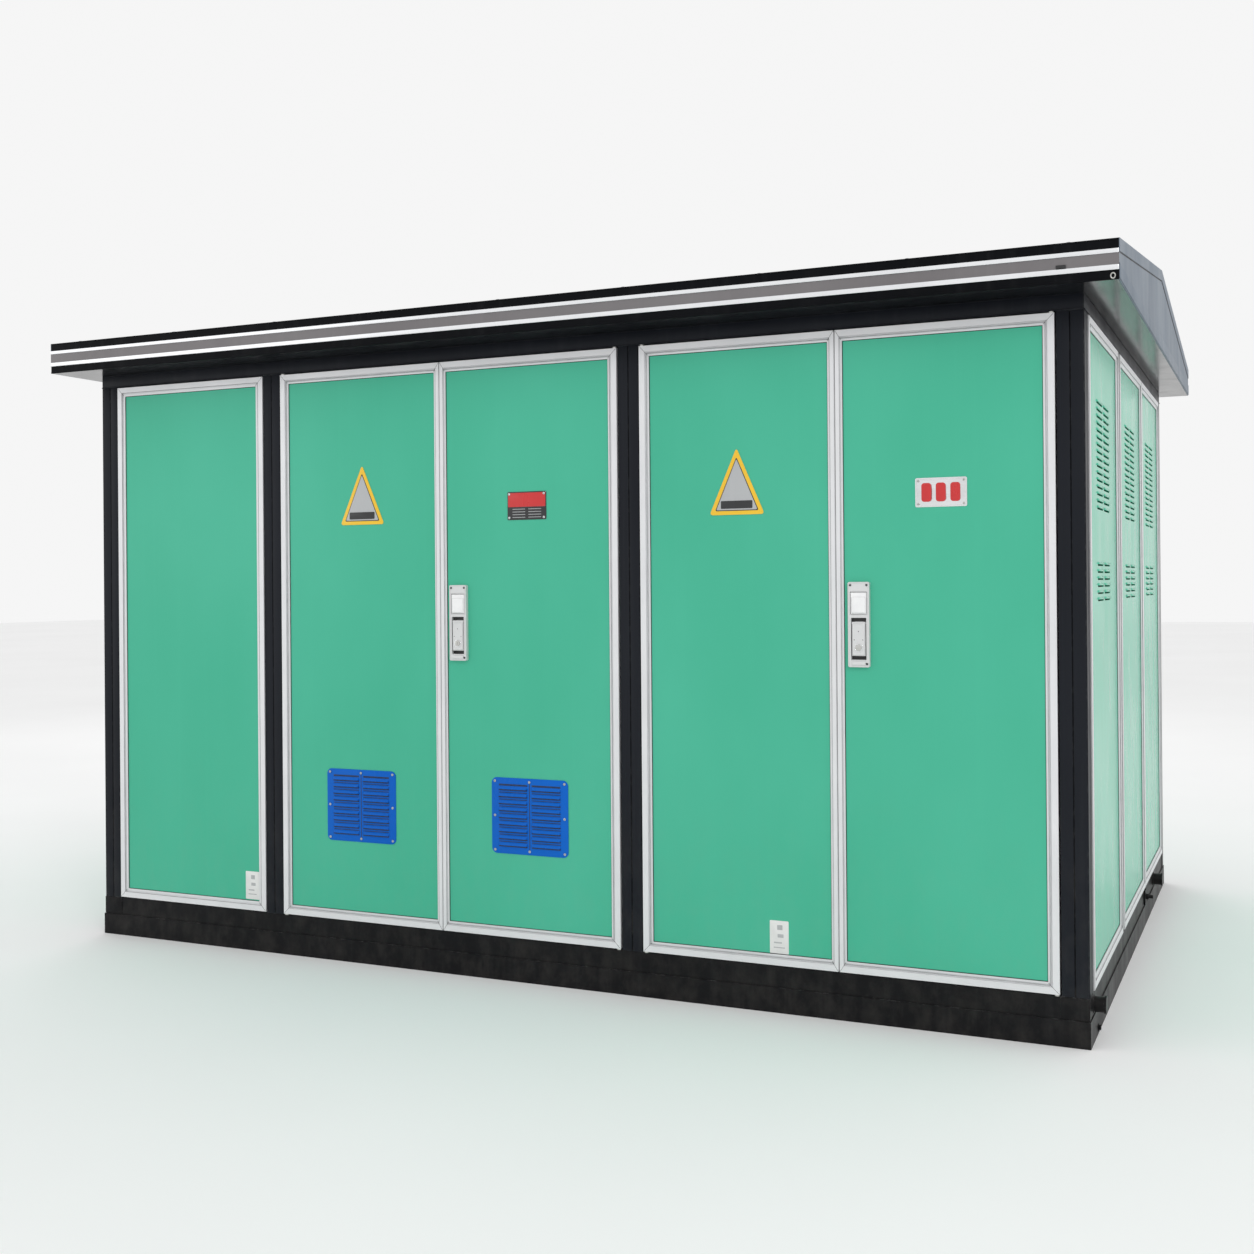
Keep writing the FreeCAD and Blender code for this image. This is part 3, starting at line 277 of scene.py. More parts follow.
# ----------------------------------------------------------------------------
# Finishes
# ----------------------------------------------------------------------------
class Shader:
    """A node tree under construction, with short calls for common steps."""

    def __init__(self, name: str) -> None:
        """Start a material with one principled shader."""
        self.material = bpy.data.materials.new(name)
        self.material.use_nodes = True
        self.tree = self.material.node_tree
        self.surface = self.tree.nodes["Principled BSDF"]
        self.where = self.tree.nodes.new("ShaderNodeTexCoord").outputs["Object"]

    def link(self, source: bpy.types.NodeSocket, target: bpy.types.NodeSocket) -> None:
        """Join two sockets."""
        self.tree.links.new(source, target)

    def stretched(self, scale: Point) -> bpy.types.NodeSocket:
        """Object coordinates scaled by axis."""
        node = self.tree.nodes.new("ShaderNodeMapping")
        node.inputs["Scale"].default_value = scale
        self.link(self.where, node.inputs["Vector"])
        return node.outputs["Vector"]

    def noise(self, scale: Point, detail: float = 4.0, rough: float = 0.55) -> bpy.types.NodeSocket:
        """Fractal noise over stretched object coordinates."""
        node = self.tree.nodes.new("ShaderNodeTexNoise")
        node.inputs["Scale"].default_value = 1.0
        node.inputs["Detail"].default_value = detail
        node.inputs["Roughness"].default_value = rough
        self.link(self.stretched(scale), node.inputs["Vector"])
        return node.outputs["Fac"]

    def span(self, value: bpy.types.NodeSocket, source: tuple[float, float],
             result: tuple[float, float]) -> bpy.types.NodeSocket:
        """Map a range of values onto another range, clamped."""
        node = self.tree.nodes.new("ShaderNodeMapRange")
        for key, number in zip(("From Min", "From Max", "To Min", "To Max"), source + result):
            node.inputs[key].default_value = number
        self.link(value, node.inputs["Value"])
        return node.outputs["Result"]

    def mix(self, factor: bpy.types.NodeSocket, first: object, second: object) -> bpy.types.NodeSocket:
        """Blend two colours, each a colour or a socket."""
        node = self.tree.nodes.new("ShaderNodeMix")
        node.data_type = "RGBA"
        self.link(factor, node.inputs["Factor"])
        for key, colour in (("A", first), ("B", second)):
            socket = [s for s in node.inputs if s.name == key and s.type == "RGBA"][0]
            if isinstance(colour, tuple):
                socket.default_value = (*colour, 1.0)
            else:
                self.link(colour, socket)
        return [s for s in node.outputs if s.type == "RGBA"][0]

    def times(self, first: bpy.types.NodeSocket, second: bpy.types.NodeSocket) -> bpy.types.NodeSocket:
        """Multiply two values."""
        node = self.tree.nodes.new("ShaderNodeMath")
        node.operation = "MULTIPLY"
        self.link(first, node.inputs[0])
        self.link(second, node.inputs[1])
        return node.outputs[0]

    def axis(self, name: str) -> bpy.types.NodeSocket:
        """One component of the object coordinates: X, Y or Z."""
        node = self.tree.nodes.new("ShaderNodeSeparateXYZ")
        self.link(self.where, node.inputs[0])
        return node.outputs[name]

    def edge_wear_and_highlight(self, radius: float) -> bpy.types.NodeSocket:
        """About 1 on sharp outer edges and 0 elsewhere."""
        bevel = self.tree.nodes.new("ShaderNodeBevel")
        bevel.samples = 4
        bevel.inputs["Radius"].default_value = radius
        shape = self.tree.nodes.new("ShaderNodeNewGeometry")
        dot = self.tree.nodes.new("ShaderNodeVectorMath")
        dot.operation = "DOT_PRODUCT"
        self.link(bevel.outputs["Normal"], dot.inputs[0])
        self.link(shape.outputs["Normal"], dot.inputs[1])
        return self.span(dot.outputs["Value"], (0.98, 0.80), (0.0, 1.0))

    def bump(self, height: bpy.types.NodeSocket, strength: float, distance: float) -> None:
        """Add a bump under those already on the surface."""
        node = self.tree.nodes.new("ShaderNodeBump")
        node.inputs["Strength"].default_value = strength
        node.inputs["Distance"].default_value = distance
        self.link(height, node.inputs["Height"])
        normal = self.surface.inputs["Normal"]
        if normal.is_linked:
            self.link(normal.links[0].from_socket, node.inputs["Normal"])
        self.link(node.outputs["Normal"], normal)


@dataclass(frozen=True)
class Paint:
    """Sprayed paint on sheet metal, with orange peel, dust and worn edges.

    Attributes:
        name: Material name.
        colour: Main colour.
        shade: A second tone that it drifts to.
        rough: Lowest and highest roughness.
        coat: Weight of the clear top layer.
        metal: How metallic the paint is.
        streak: Strength of faint vertical run marks.
        dust: Strength of settled dust near the ground.
        worn: Colour that shows on worn edges.
        edge: How much of the edges is worn.
        specular: Strength of the plain reflection.
    """

    name: str
    colour: Colour
    shade: Colour
    rough: tuple[float, float] = (0.28, 0.42)
    coat: float = 0.25
    metal: float = 0.0
    streak: float = 0.25
    dust: float = 0.15
    worn: Colour = (0.35, 0.36, 0.36)
    edge: float = 0.5
    specular: float = 0.5

    def build(self) -> bpy.types.Material:
        """Make the material."""
        make = Shader(self.name)
        drift = make.span(make.noise((1.7, 1.7, 0.9), 3), (0.35, 0.7), (0.0, 1.0))
        tone = make.mix(drift, self.colour, self.shade)
        runs = make.span(make.noise((38, 38, 0.6), 5, 0.6), (0.52, 0.75), (0.0, self.streak))
        pale = tuple(min(1.0, c * 1.25 + 0.02) for c in self.colour)
        tone = make.mix(runs, tone, pale)
        low = make.span(make.axis("Z"), (0.75, 0.0), (0.0, 1.0))
        specks = make.span(make.noise((22, 22, 14), 6, 0.65), (0.42, 0.72), (0.0, self.dust))
        tone = make.mix(make.times(low, specks), tone, (0.34, 0.31, 0.27))
        scuffs = make.span(make.noise((55, 55, 55), 5, 0.6), (0.5, 0.62), (0.0, self.edge))
        tone = make.mix(make.times(make.edge_wear_and_highlight(0.0015), scuffs), tone, self.worn)
        make.link(tone, make.surface.inputs["Base Color"])
        gloss = make.span(make.noise((9, 9, 3), 5), (0.3, 0.75), self.rough)
        make.link(gloss, make.surface.inputs["Roughness"])
        make.surface.inputs["Metallic"].default_value = self.metal
        make.surface.inputs["Specular IOR Level"].default_value = self.specular
        make.surface.inputs["Coat Weight"].default_value = self.coat
        make.surface.inputs["Coat Roughness"].default_value = 0.12
        make.bump(make.noise((420, 420, 420), 2), 0.10, 0.0004)
        make.bump(make.noise((2.2, 2.2, 1.1), 2), 0.12, 0.006)
        return make.material


@dataclass(frozen=True)
class Metal:
    """Bare metal: extruded, rolled, cast or plated.

    Attributes:
        name: Material name.
        colour: Reflected colour.
        tarnish: Colour of the dull patches.
        rough: Lowest and highest roughness.
        grain: Scale of the drawing marks along X, Y and Z.
        depth: Strength of the drawing marks.
        metal: How metallic the surface is, below 1 for anodised metal.
    """

    name: str
    colour: Colour
    tarnish: Colour
    rough: tuple[float, float] = (0.25, 0.42)
    grain: Point = (6.0, 900.0, 900.0)
    depth: float = 0.12
    metal: float = 1.0

    def build(self) -> bpy.types.Material:
        """Make the material."""
        make = Shader(self.name)
        lines = make.noise(self.grain, 3, 0.6)
        clouds = make.span(make.noise((7, 7, 7), 5, 0.6), (0.4, 0.75), (0.0, 0.65))
        tone = make.mix(clouds, self.colour, self.tarnish)
        tone = make.mix(make.span(lines, (0.35, 0.7), (0.0, 0.35)), tone, self.tarnish)
        # Painted highlight: edges a little lighter than the faces.
        bright = tuple(min(1.0, c * 1.15) for c in self.colour)
        tone = make.mix(make.edge_wear_and_highlight(0.001), tone, bright)
        make.link(tone, make.surface.inputs["Base Color"])
        make.link(make.span(lines, (0.3, 0.7), self.rough), make.surface.inputs["Roughness"])
        make.surface.inputs["Metallic"].default_value = self.metal
        make.bump(lines, self.depth, 0.0003)
        make.bump(make.noise((14, 14, 14), 3), 0.08, 0.002)
        return make.material


@dataclass(frozen=True)
class Moulding:
    """Moulded plastic, rubber or glazed ceramic.

    Attributes:
        name: Material name.
        colour: Main colour.
        shade: A second tone.
        rough: Lowest and highest roughness.
        coat: Weight of the glaze.
        pore: Strength of the moulded texture.
    """

    name: str
    colour: Colour
    shade: Colour
    rough: tuple[float, float] = (0.35, 0.5)
    coat: float = 0.0
    pore: float = 0.2

    def build(self) -> bpy.types.Material:
        """Make the material."""
        make = Shader(self.name)
        cloud = make.span(make.noise((30, 30, 30), 5, 0.6), (0.35, 0.7), (0.0, 1.0))
        tone = make.mix(cloud, self.colour, self.shade)
        handled = tuple(min(1.0, c * 1.5 + 0.03) for c in self.colour)
        tone = make.mix(make.times(make.edge_wear_and_highlight(0.0012), cloud), tone, handled)
        make.link(tone, make.surface.inputs["Base Color"])
        make.link(make.span(make.noise((60, 60, 60), 4), (0.3, 0.7), self.rough),
                  make.surface.inputs["Roughness"])
        make.surface.inputs["Coat Weight"].default_value = self.coat
        make.surface.inputs["Coat Roughness"].default_value = 0.06
        make.bump(make.noise((700, 700, 700), 2), self.pore, 0.0003)
        return make.material


class Finish(Enum):
    """Every finish on the kiosk, by the piece that wears it."""

    LEAF_GREEN = Paint("leaf_green", (0.058, 0.445, 0.285), (0.072, 0.480, 0.318),
                       rough=(0.17, 0.28), coat=0.12, streak=0.05, dust=0.05, specular=0.18)
    FRAME_DARK = Paint("frame_dark", (0.0070, 0.0085, 0.0125), (0.0105, 0.0125, 0.0175),
                       rough=(0.36, 0.5), coat=0.02, dust=0.04, edge=0.3, specular=0.14)
    BASE_BLACK = Paint("base_black", (0.004, 0.004, 0.005), (0.007, 0.007, 0.008),
                       rough=(0.36, 0.52), coat=0.03, dust=0.05, edge=0.35, specular=0.12)
    FASCIA_BLACK = Paint("fascia_black", (0.0015, 0.002, 0.003), (0.003, 0.0035, 0.005),
                         rough=(0.34, 0.46), coat=0.01, edge=0.25, specular=0.07)
    SOFFIT_DARK = Paint("soffit_dark", (0.004, 0.005, 0.006), (0.010, 0.011, 0.013),
                        rough=(0.14, 0.26), coat=0.25, edge=0.2, specular=0.3)
    BAND_GREY = Paint("band_grey", (0.170, 0.160, 0.165), (0.205, 0.195, 0.200),
                      rough=(0.3, 0.42), metal=0.4, coat=0.05, edge=0.2, specular=0.3)
    # Dark gable paint, with the sky's reflection painted into its colour as a matte blue-grey.
    GABLE_BLUE = Paint("gable_blue_grey", (0.120, 0.150, 0.190), (0.185, 0.220, 0.265),
                       rough=(0.38, 0.54), metal=0.15, coat=0.0, edge=0.2, specular=0.2)
    ROOF_GREY = Paint("roof_grey", (0.085, 0.095, 0.110), (0.105, 0.116, 0.134),
                      rough=(0.44, 0.54), metal=0.15, coat=0.04, edge=0.3, specular=0.35)
    PARTITION_WHITE = Paint("partition_white", (0.62, 0.62, 0.58), (0.68, 0.68, 0.65),
                            rough=(0.4, 0.55), coat=0.1)
    LOUVRE_BLUE = Paint("louvre_blue", (0.001, 0.110, 0.520), (0.002, 0.130, 0.580),
                        rough=(0.24, 0.36), coat=0.04, streak=0.02, dust=0.02, edge=0.2, specular=0.12)
    TANK_GREY = Paint("tank_grey", (0.20, 0.23, 0.23), (0.25, 0.28, 0.28),
                      rough=(0.3, 0.45), coat=0.3)
    CUBICLE_GREY = Paint("cubicle_grey", (0.52, 0.53, 0.51), (0.58, 0.59, 0.57),
                         rough=(0.42, 0.58), coat=0.05)
    LOCK_GREY = Paint("lock_grey", (0.66, 0.665, 0.67), (0.71, 0.715, 0.72),
                      rough=(0.28, 0.40), metal=0.2, coat=0.2, streak=0.05)
    LABEL_WHITE = Paint("label_white", (0.80, 0.80, 0.79), (0.74, 0.74, 0.73),
                        rough=(0.35, 0.5), coat=0.2, worn=(0.5, 0.5, 0.5))
    LABEL_GREY = Paint("label_grey", (0.42, 0.43, 0.44), (0.48, 0.49, 0.50),
                       rough=(0.3, 0.45), coat=0.2)
    LABEL_YELLOW = Paint("label_yellow", (0.86, 0.50, 0.01), (0.90, 0.56, 0.02),
                         rough=(0.25, 0.4), coat=0.3)
    LABEL_RED = Paint("label_red", (0.55, 0.012, 0.015), (0.62, 0.02, 0.02),
                      rough=(0.25, 0.4), coat=0.3)
    LABEL_BLACK = Paint("label_black", (0.010, 0.010, 0.012), (0.018, 0.018, 0.02),
                        rough=(0.25, 0.4), coat=0.3)
    ALUMINIUM = Metal("leaf_aluminium", (0.78, 0.785, 0.80), (0.70, 0.705, 0.72),
                      rough=(0.38, 0.48), grain=(5.0, 700.0, 5.0), depth=0.03, metal=0.4)
    TRIM_BRIGHT = Metal("trim_bright", (0.90, 0.91, 0.93), (0.78, 0.79, 0.81),
                        rough=(0.18, 0.30), grain=(3.0, 600.0, 600.0), depth=0.06)
    CHROME = Metal("plate_chrome", (0.82, 0.83, 0.84), (0.60, 0.61, 0.62),
                   rough=(0.10, 0.22), grain=(8.0, 500.0, 500.0), depth=0.03)
    GALVANISED = Metal("galvanised", (0.55, 0.57, 0.58), (0.38, 0.40, 0.41),
                       rough=(0.35, 0.6), grain=(40.0, 40.0, 40.0), depth=0.05)
    ZINC = Metal("zinc_plated", (0.62, 0.62, 0.60), (0.42, 0.41, 0.38),
                 rough=(0.28, 0.45), grain=(90.0, 90.0, 90.0), depth=0.05)
    CORE_STEEL = Metal("core_steel", (0.22, 0.22, 0.24), (0.12, 0.12, 0.13),
                       rough=(0.35, 0.5), grain=(900.0, 4.0, 4.0), depth=0.3)
    COPPER = Metal("copper", (0.80, 0.37, 0.20), (0.45, 0.20, 0.11),
                   rough=(0.25, 0.42), grain=(5.0, 400.0, 400.0), depth=0.08)
    GASKET = Moulding("gasket_rubber", (0.012, 0.012, 0.013), (0.03, 0.03, 0.03), rough=(0.5, 0.7))
    PORCELAIN = Moulding("bushing_glaze", (0.13, 0.030, 0.010), (0.20, 0.05, 0.018),
                         rough=(0.10, 0.2), coat=0.8, pore=0.05)
    SHEATH = Moulding("cable_sheath", (0.20, 0.010, 0.010), (0.26, 0.02, 0.02), rough=(0.4, 0.6))
    BREAKER = Moulding("breaker_grey", (0.045, 0.048, 0.052), (0.07, 0.072, 0.078), rough=(0.35, 0.5))
    HANDLE = Moulding("handle_black", (0.012, 0.012, 0.013), (0.022, 0.022, 0.024), rough=(0.3, 0.45))
    # Painted shade of the step round each glazing bead.
    SEAL_SHADOW = Moulding("painted_groove_shade", (0.34, 0.34, 0.35), (0.42, 0.42, 0.43), rough=(0.5, 0.6))
    SEAL_GREY = Moulding("meeting_seal", (0.50, 0.50, 0.51), (0.42, 0.42, 0.43), rough=(0.4, 0.55))
    FLAP_WHITE = Moulding("flap_white", (0.90, 0.90, 0.90), (0.84, 0.84, 0.85),
                          rough=(0.12, 0.25), coat=0.6, pore=0.02)


class Wardrobe:
    """Makes each finish once and dresses pieces and CAD nodes with it."""

    def __init__(self) -> None:
        """Start with no finish made."""
        self.made: dict[Finish, bpy.types.Material] = {}

    def material(self, finish: Finish) -> bpy.types.Material:
        """The material of a finish, made on first use."""
        if finish not in self.made:
            self.made[finish] = finish.value.build()
        return self.made[finish]

    def dress(self, piece: bpy.types.Object, finish: Finish) -> None:
        """Give an object one finish all over."""
        piece.data.materials.clear()
        piece.data.materials.append(self.material(finish))

    def dress_nodes(self, finish: Finish, nodes: Iterable[str]) -> None:
        """Give CAD nodes one finish, through their material slots."""
        for node in nodes:
            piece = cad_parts[node]
            if not piece.material_slots:
                piece.data.materials.append(self.material(finish))
            for slot in piece.material_slots:
                slot.material = self.material(finish)


WARDROBE = Wardrobe()


def finish_piece(
    piece: bpy.types.Object, name: str, body: str, finish: Finish,
    replaces: Sequence[str] = (),
) -> bpy.types.Object:
    """Name, dress and hang a finished piece on its body.

    Args:
        piece: The object.
        name: Its name.
        body: The body that it moves with.
        finish: Its finish.
        replaces: CAD nodes that it stands for.

    Returns:
        The same object.
    """
    piece.name = name
    piece.data.name = name
    WARDROBE.dress(piece, finish)
    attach(piece, body)
    if replaces:
        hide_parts(*replaces)
    LOG.info("%s: %d faces on %s", name, len(piece.data.polygons), body)
    return piece


# ----------------------------------------------------------------------------
# Walls and bays
# ----------------------------------------------------------------------------
HALF_LENGTH = 1.700
HALF_WIDTH = 1.170
LEAF_LOW = 0.137
LEAF_HIGH = 1.953
PROUD = 0.005          # profile front ahead of the posts
RECESS = 0.008         # panel face behind the profile front
PANEL = 0.025
PROFILE = 0.030


class Side(Enum):
    """A wall, by the angle that turns it from the front."""

    FRONT = 0
    RIGHT = 90
    REAR = 180
    LEFT = 270

    @property
    def front(self) -> float:
        """Y of the posts' outer face, with the wall drawn as the front one."""
        return -HALF_WIDTH if self in (Side.FRONT, Side.REAR) else -HALF_LENGTH

    @property
    def face(self) -> float:
        """Y of the panels' outer face, with the wall drawn as the front one."""
        return self.front - PROUD + RECESS

    def turn(self, piece: bpy.types.Object) -> bpy.types.Object:
        """Turn a piece drawn on the front wall round to this one."""
        piece.data.transform(Matrix.Rotation(math.radians(self.value), 4, "Z"))
        return piece


@dataclass(frozen=True)
class Bay:
    """One framed panel or door leaf, in its wall's own coordinates.

    Attributes:
        name: Piece name stem.
        side: The wall.
        low: Left outer edge.
        high: Right outer edge.
        body: Body that it moves with.
        left: Width of its left profile.
        right: Width of its right profile.
        vented: Whether its panel is slotted.
    """

    name: str
    side: Side
    low: float
    high: float
    body: str = "housing"
    left: float = PROFILE
    right: float = PROFILE
    vented: bool = False

    @property
    def centre(self) -> float:
        """Middle of the bay."""
        return (self.low + self.high) / 2


def leaf_bay(name: str, side: Side, left: float, right: float) -> Bay:
    """A door leaf's bay, its edges read from its CAD frame."""
    low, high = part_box(name + "_frame")
    back = Matrix.Rotation(-math.radians(side.value), 4, "Z")
    corners = sorted((back @ low).x for low in (low, high))
    return Bay(name, side, corners[0], corners[1], name, left, right)


@dataclass
class Bays:
    """All framed panels and leaves of the four walls."""

    corner: float = 0.075
    hv_width: float = 0.640
    transformer_width: float = 1.250
    step: float = 0.075
    end_step: float = 0.040
    meeting: float = 0.019
    every: list[Bay] = field(default_factory=list)

    def build(self) -> None:
        """List the bays."""
        edge = -HALF_LENGTH + self.corner
        hv = (edge, edge + self.hv_width)
        mid = (hv[1] + self.step, hv[1] + self.step + self.transformer_width)
        lv = (mid[1] + self.step, HALF_LENGTH - self.corner)
        end_leaf = (2 * HALF_WIDTH - 2 * self.corner - self.end_step) / 3
        single = (-HALF_WIDTH + self.corner, -HALF_WIDTH + self.corner + end_leaf)
        pair = (single[1] + self.end_step, HALF_WIDTH - self.corner)
        pair_middle = sum(pair) / 2
        fixed = [
            ("front_hv", Side.FRONT, hv, False),
            ("end_single", Side.RIGHT, single, True),
            ("end_pair_left", Side.RIGHT, (pair[0], pair_middle), True),
            ("end_pair_right", Side.RIGHT, (pair_middle, pair[1]), True),
            ("end_hv", Side.LEFT, (-single[1], -single[0]), True),
            ("rear_hv", Side.REAR, (-hv[1], -hv[0]), False),
        ]
        for name, (low, high) in (("mid", mid), ("lv", lv)):
            middle = -(low + high) / 2
            fixed.append(("rear_%s_left" % name, Side.REAR, (-high, middle), False))
            fixed.append(("rear_%s_right" % name, Side.REAR, (middle, -low), False))
        for name, side, (low, high), vented in fixed:
            self.every.append(Bay(name, side, low, high, vented=vented))
        for name, side in (("transformer", Side.FRONT), ("lv", Side.FRONT)):
            self.every.append(leaf_bay(name + "_leaf_left", side, PROFILE, self.meeting))
            self.every.append(leaf_bay(name + "_leaf_right", side, self.meeting, PROFILE))
        self.every.append(leaf_bay("hv_leaf_rear", Side.LEFT, PROFILE, self.meeting))
        self.every.append(leaf_bay("hv_leaf_front", Side.LEFT, self.meeting, PROFILE))

    def named(self, name: str) -> Bay:
        """The bay with a name."""
        return next(bay for bay in self.every if bay.name == name)


# ----------------------------------------------------------------------------
# Walls: profiles, panels, vents
# ----------------------------------------------------------------------------
@dataclass
class FramedPanels:
    """Beads, gaskets and inner ribs of every framed panel and leaf."""

    bays: Bays
    bead_width: float = 0.0105
    bead_front: float = 0.0035     # bead front behind the profile front
    gasket: float = 0.0018
    rib: float = 0.040
    rib_depth: float = 0.005
    mitre: float = 0.0008
    crease_shade: float = 0.0012
    seal: float = 0.0024

    def build(self) -> None:
        """Build the parts of each bay."""
        for bay in self.bays.every:
            self.build_bead(bay)
            self.build_gasket(bay)
            self.build_mitres(bay)
            self.build_ribs(bay)
            if bay.name in ("transformer_leaf_left", "lv_leaf_left", "hv_leaf_rear"):
                self.build_seal(bay)

    def rectangle(self, bay: Bay, inset: float) -> tuple[tuple[float, float], tuple[float, float]]:
        """Spans of a rectangle inset from a bay's profiles, scaled to narrow ones."""
        left = inset * min(1.0, bay.left / PROFILE) if inset < PROFILE else inset - PROFILE + bay.left
        right = inset * min(1.0, bay.right / PROFILE) if inset < PROFILE else inset - PROFILE + bay.right
        return (bay.low + left, bay.high - right), (LEAF_LOW + inset, LEAF_HIGH - inset)

    def build_bead(self, bay: Bay) -> None:
        """The stepped glazing bead that holds the panel, and a grey hairline round it: painted shade of the
        step between profile and bead.
        """
        inner = PROFILE + 0.0005
        span, height = self.rectangle(bay, inner)
        front = bay.side.front - PROUD + self.bead_front
        width = min(self.bead_width, bay.left * 0.35, bay.right * 0.35)
        outer_span = (span[0] - width, span[1] + width)
        outer_height = (height[0] - width, height[1] + width)
        piece = ring(outer_span, outer_height, width, (front, front + 0.0055), 0.0009)
        bay.side.turn(piece)
        finish_piece(piece, bay.name + "_bead", bay.body, Finish.ALUMINIUM)
        # Painted shade: a grey hairline ring along the step round the bead.
        edge = bay.side.front - PROUD
        line = ring((outer_span[0] - self.crease_shade, outer_span[1] + self.crease_shade),
                    (outer_height[0] - self.crease_shade, outer_height[1] + self.crease_shade),
                    self.crease_shade, (edge - 0.0002, edge + 0.0020), 0.0)
        bay.side.turn(line)
        finish_piece(line, bay.name + "_crease", bay.body, Finish.SEAL_SHADOW)

    def build_gasket(self, bay: Bay) -> None:
        """The rubber lip between bead and panel."""
        span, height = self.rectangle(bay, PROFILE + 0.0005)
        face = bay.side.face
        piece = ring(span, height, self.gasket, (face - 0.0012, face + 0.0004), 0.0004)
        bay.side.turn(piece)
        finish_piece(piece, bay.name + "_gasket", bay.body, Finish.GASKET)

    def build_mitres(self, bay: Bay) -> None:
        """A dark hairline across each corner joint of the profiles."""
        front = bay.side.front - PROUD
        lines = []
        for left, width in ((True, bay.left), (False, bay.right)):
            for low in (True, False):
                corner = (bay.low if left else bay.high, LEAF_LOW if low else LEAF_HIGH)
                inner = (corner[0] + (width if left else -width), corner[1] + (PROFILE if low else -PROFILE))
                run, rise = inner[0] - corner[0], inner[1] - corner[1]
                length = math.hypot(run, rise) - 0.004
                line = soften(block((-length / 2, -0.00025, -self.mitre / 2),
                                    (length / 2, 0.0005, self.mitre / 2)), 0.0001, 1)
                middle = shift((corner[0] + inner[0]) / 2, front, (corner[1] + inner[1]) / 2)
                lines += repeat(line, [middle @ Matrix.Rotation(-math.atan2(rise, run), 4, "Y")])
        piece = merge(lines)
        bay.side.turn(piece)
        finish_piece(piece, bay.name + "_mitres", bay.body, Finish.GASKET)

    def build_seal(self, bay: Bay) -> None:
        """The lip that closes most of the gap between two leaves."""
        front = bay.side.front - PROUD
        lip = block((bay.high - 0.0004, front + 0.001, LEAF_LOW + 0.004),
                    (bay.high + self.seal, front + 0.006, LEAF_HIGH - 0.004))
        piece = bay.side.turn(soften(lip, 0.0008, 3))
        finish_piece(piece, bay.name + "_seal", bay.body, Finish.SEAL_GREY)

    def build_ribs(self, bay: Bay) -> None:
        """Folded stiffeners on the back of the panel."""
        back = bay.side.face + PANEL
        third = (bay.high - bay.low) / 3
        ribs = []
        for x in (bay.low + third, bay.high - third):
            rib = block((x - self.rib / 2, back - 0.0005, LEAF_LOW + 0.09),
                        (x + self.rib / 2, back + self.rib_depth, LEAF_HIGH - 0.09))
            select_faces(rib, lambda face: face.normal.y > 0.9)
            bpy.ops.transform.resize(value=(0.6, 1, 0.99))
            leave_edit()
            ribs.append(soften(rib, 0.001))
        piece = merge(ribs)
        bay.side.turn(piece)
        finish_piece(piece, bay.name + "_ribs", bay.body, Finish.LEAF_GREEN)

    def dress(self) -> None:
        """Dress the CAD frames, panels and pins."""
        frames = [b.body + "_frame" for b in self.bays.every if b.body != "housing"]
        panels = [b.body + "_panel" for b in self.bays.every if b.body != "housing"]
        WARDROBE.dress_nodes(Finish.ALUMINIUM, frames + ["fixed_frames"])
        WARDROBE.dress_nodes(Finish.LEAF_GREEN, panels + ["fixed_panels"])
        WARDROBE.dress_nodes(Finish.ZINC, ["pivot_pins"])


@dataclass
class VentPanels:
    """Pressed hoods over the slots of the end panels, and the screens behind."""

    bays: Bays
    slot_width: float = 0.130
    slot_height: float = 0.008
    pitch: float = 0.020
    column_gap: float = 0.030
    fields: tuple[tuple[float, int], ...] = ((1.440, 16), (1.180, 6))
    hood: float = 0.0032

    def build(self) -> None:
        """Build the hoods and the screen of each vented bay."""
        for bay in self.bays.every:
            if bay.vented:
                self.build_hoods(bay)
                self.build_screen(bay)

    def build_hoods(self, bay: Bay) -> None:
        """One shallow hood over each slot."""
        face = bay.side.face
        half = self.slot_width / 2 + 0.002
        pattern = block((-half, -self.hood, self.slot_height * 0.55),
                        (half, 0.0004, self.slot_height * 0.55 + 0.0075))
        select_faces(pattern, lambda f: f.normal.y < -0.9)
        bpy.ops.transform.resize(value=(0.95, 1, 0.45))
        bpy.ops.transform.translate(value=(0, 0, -0.0016))
        leave_edit()
        soften(pattern, 0.0008, 1, 20)
        step = (self.slot_width + self.column_gap) / 2
        places = []
        for low, rows in self.fields:
            for row in range(rows):
                places += [shift(bay.centre + side, face, low + row * self.pitch) for side in (-step, step)]
        piece = merge(repeat(pattern, places))
        bay.side.turn(piece)
        finish_piece(piece, bay.name + "_hoods", bay.body, Finish.LEAF_GREEN)

    def build_screen(self, bay: Bay) -> None:
        """A dust screen in a thin frame behind the slots."""
        back = bay.side.face + PANEL
        half = self.slot_width + self.column_gap / 2 + 0.02
        low, high = self.fields[1][0] - 0.03, self.fields[0][0] + self.fields[0][1] * self.pitch + 0.02
        screen = block((bay.centre - half, back + 0.0005, low), (bay.centre + half, back + 0.003, high))
        select_faces(screen, lambda f: f.normal.y > 0.9)
        bpy.ops.mesh.inset(thickness=0.012)
        bpy.ops.transform.translate(value=(0, -0.001, 0))
        leave_edit()
        soften(screen, 0.0004, 1)
        bay.side.turn(screen)
        finish_piece(screen, bay.name + "_screen", bay.body, Finish.GASKET)


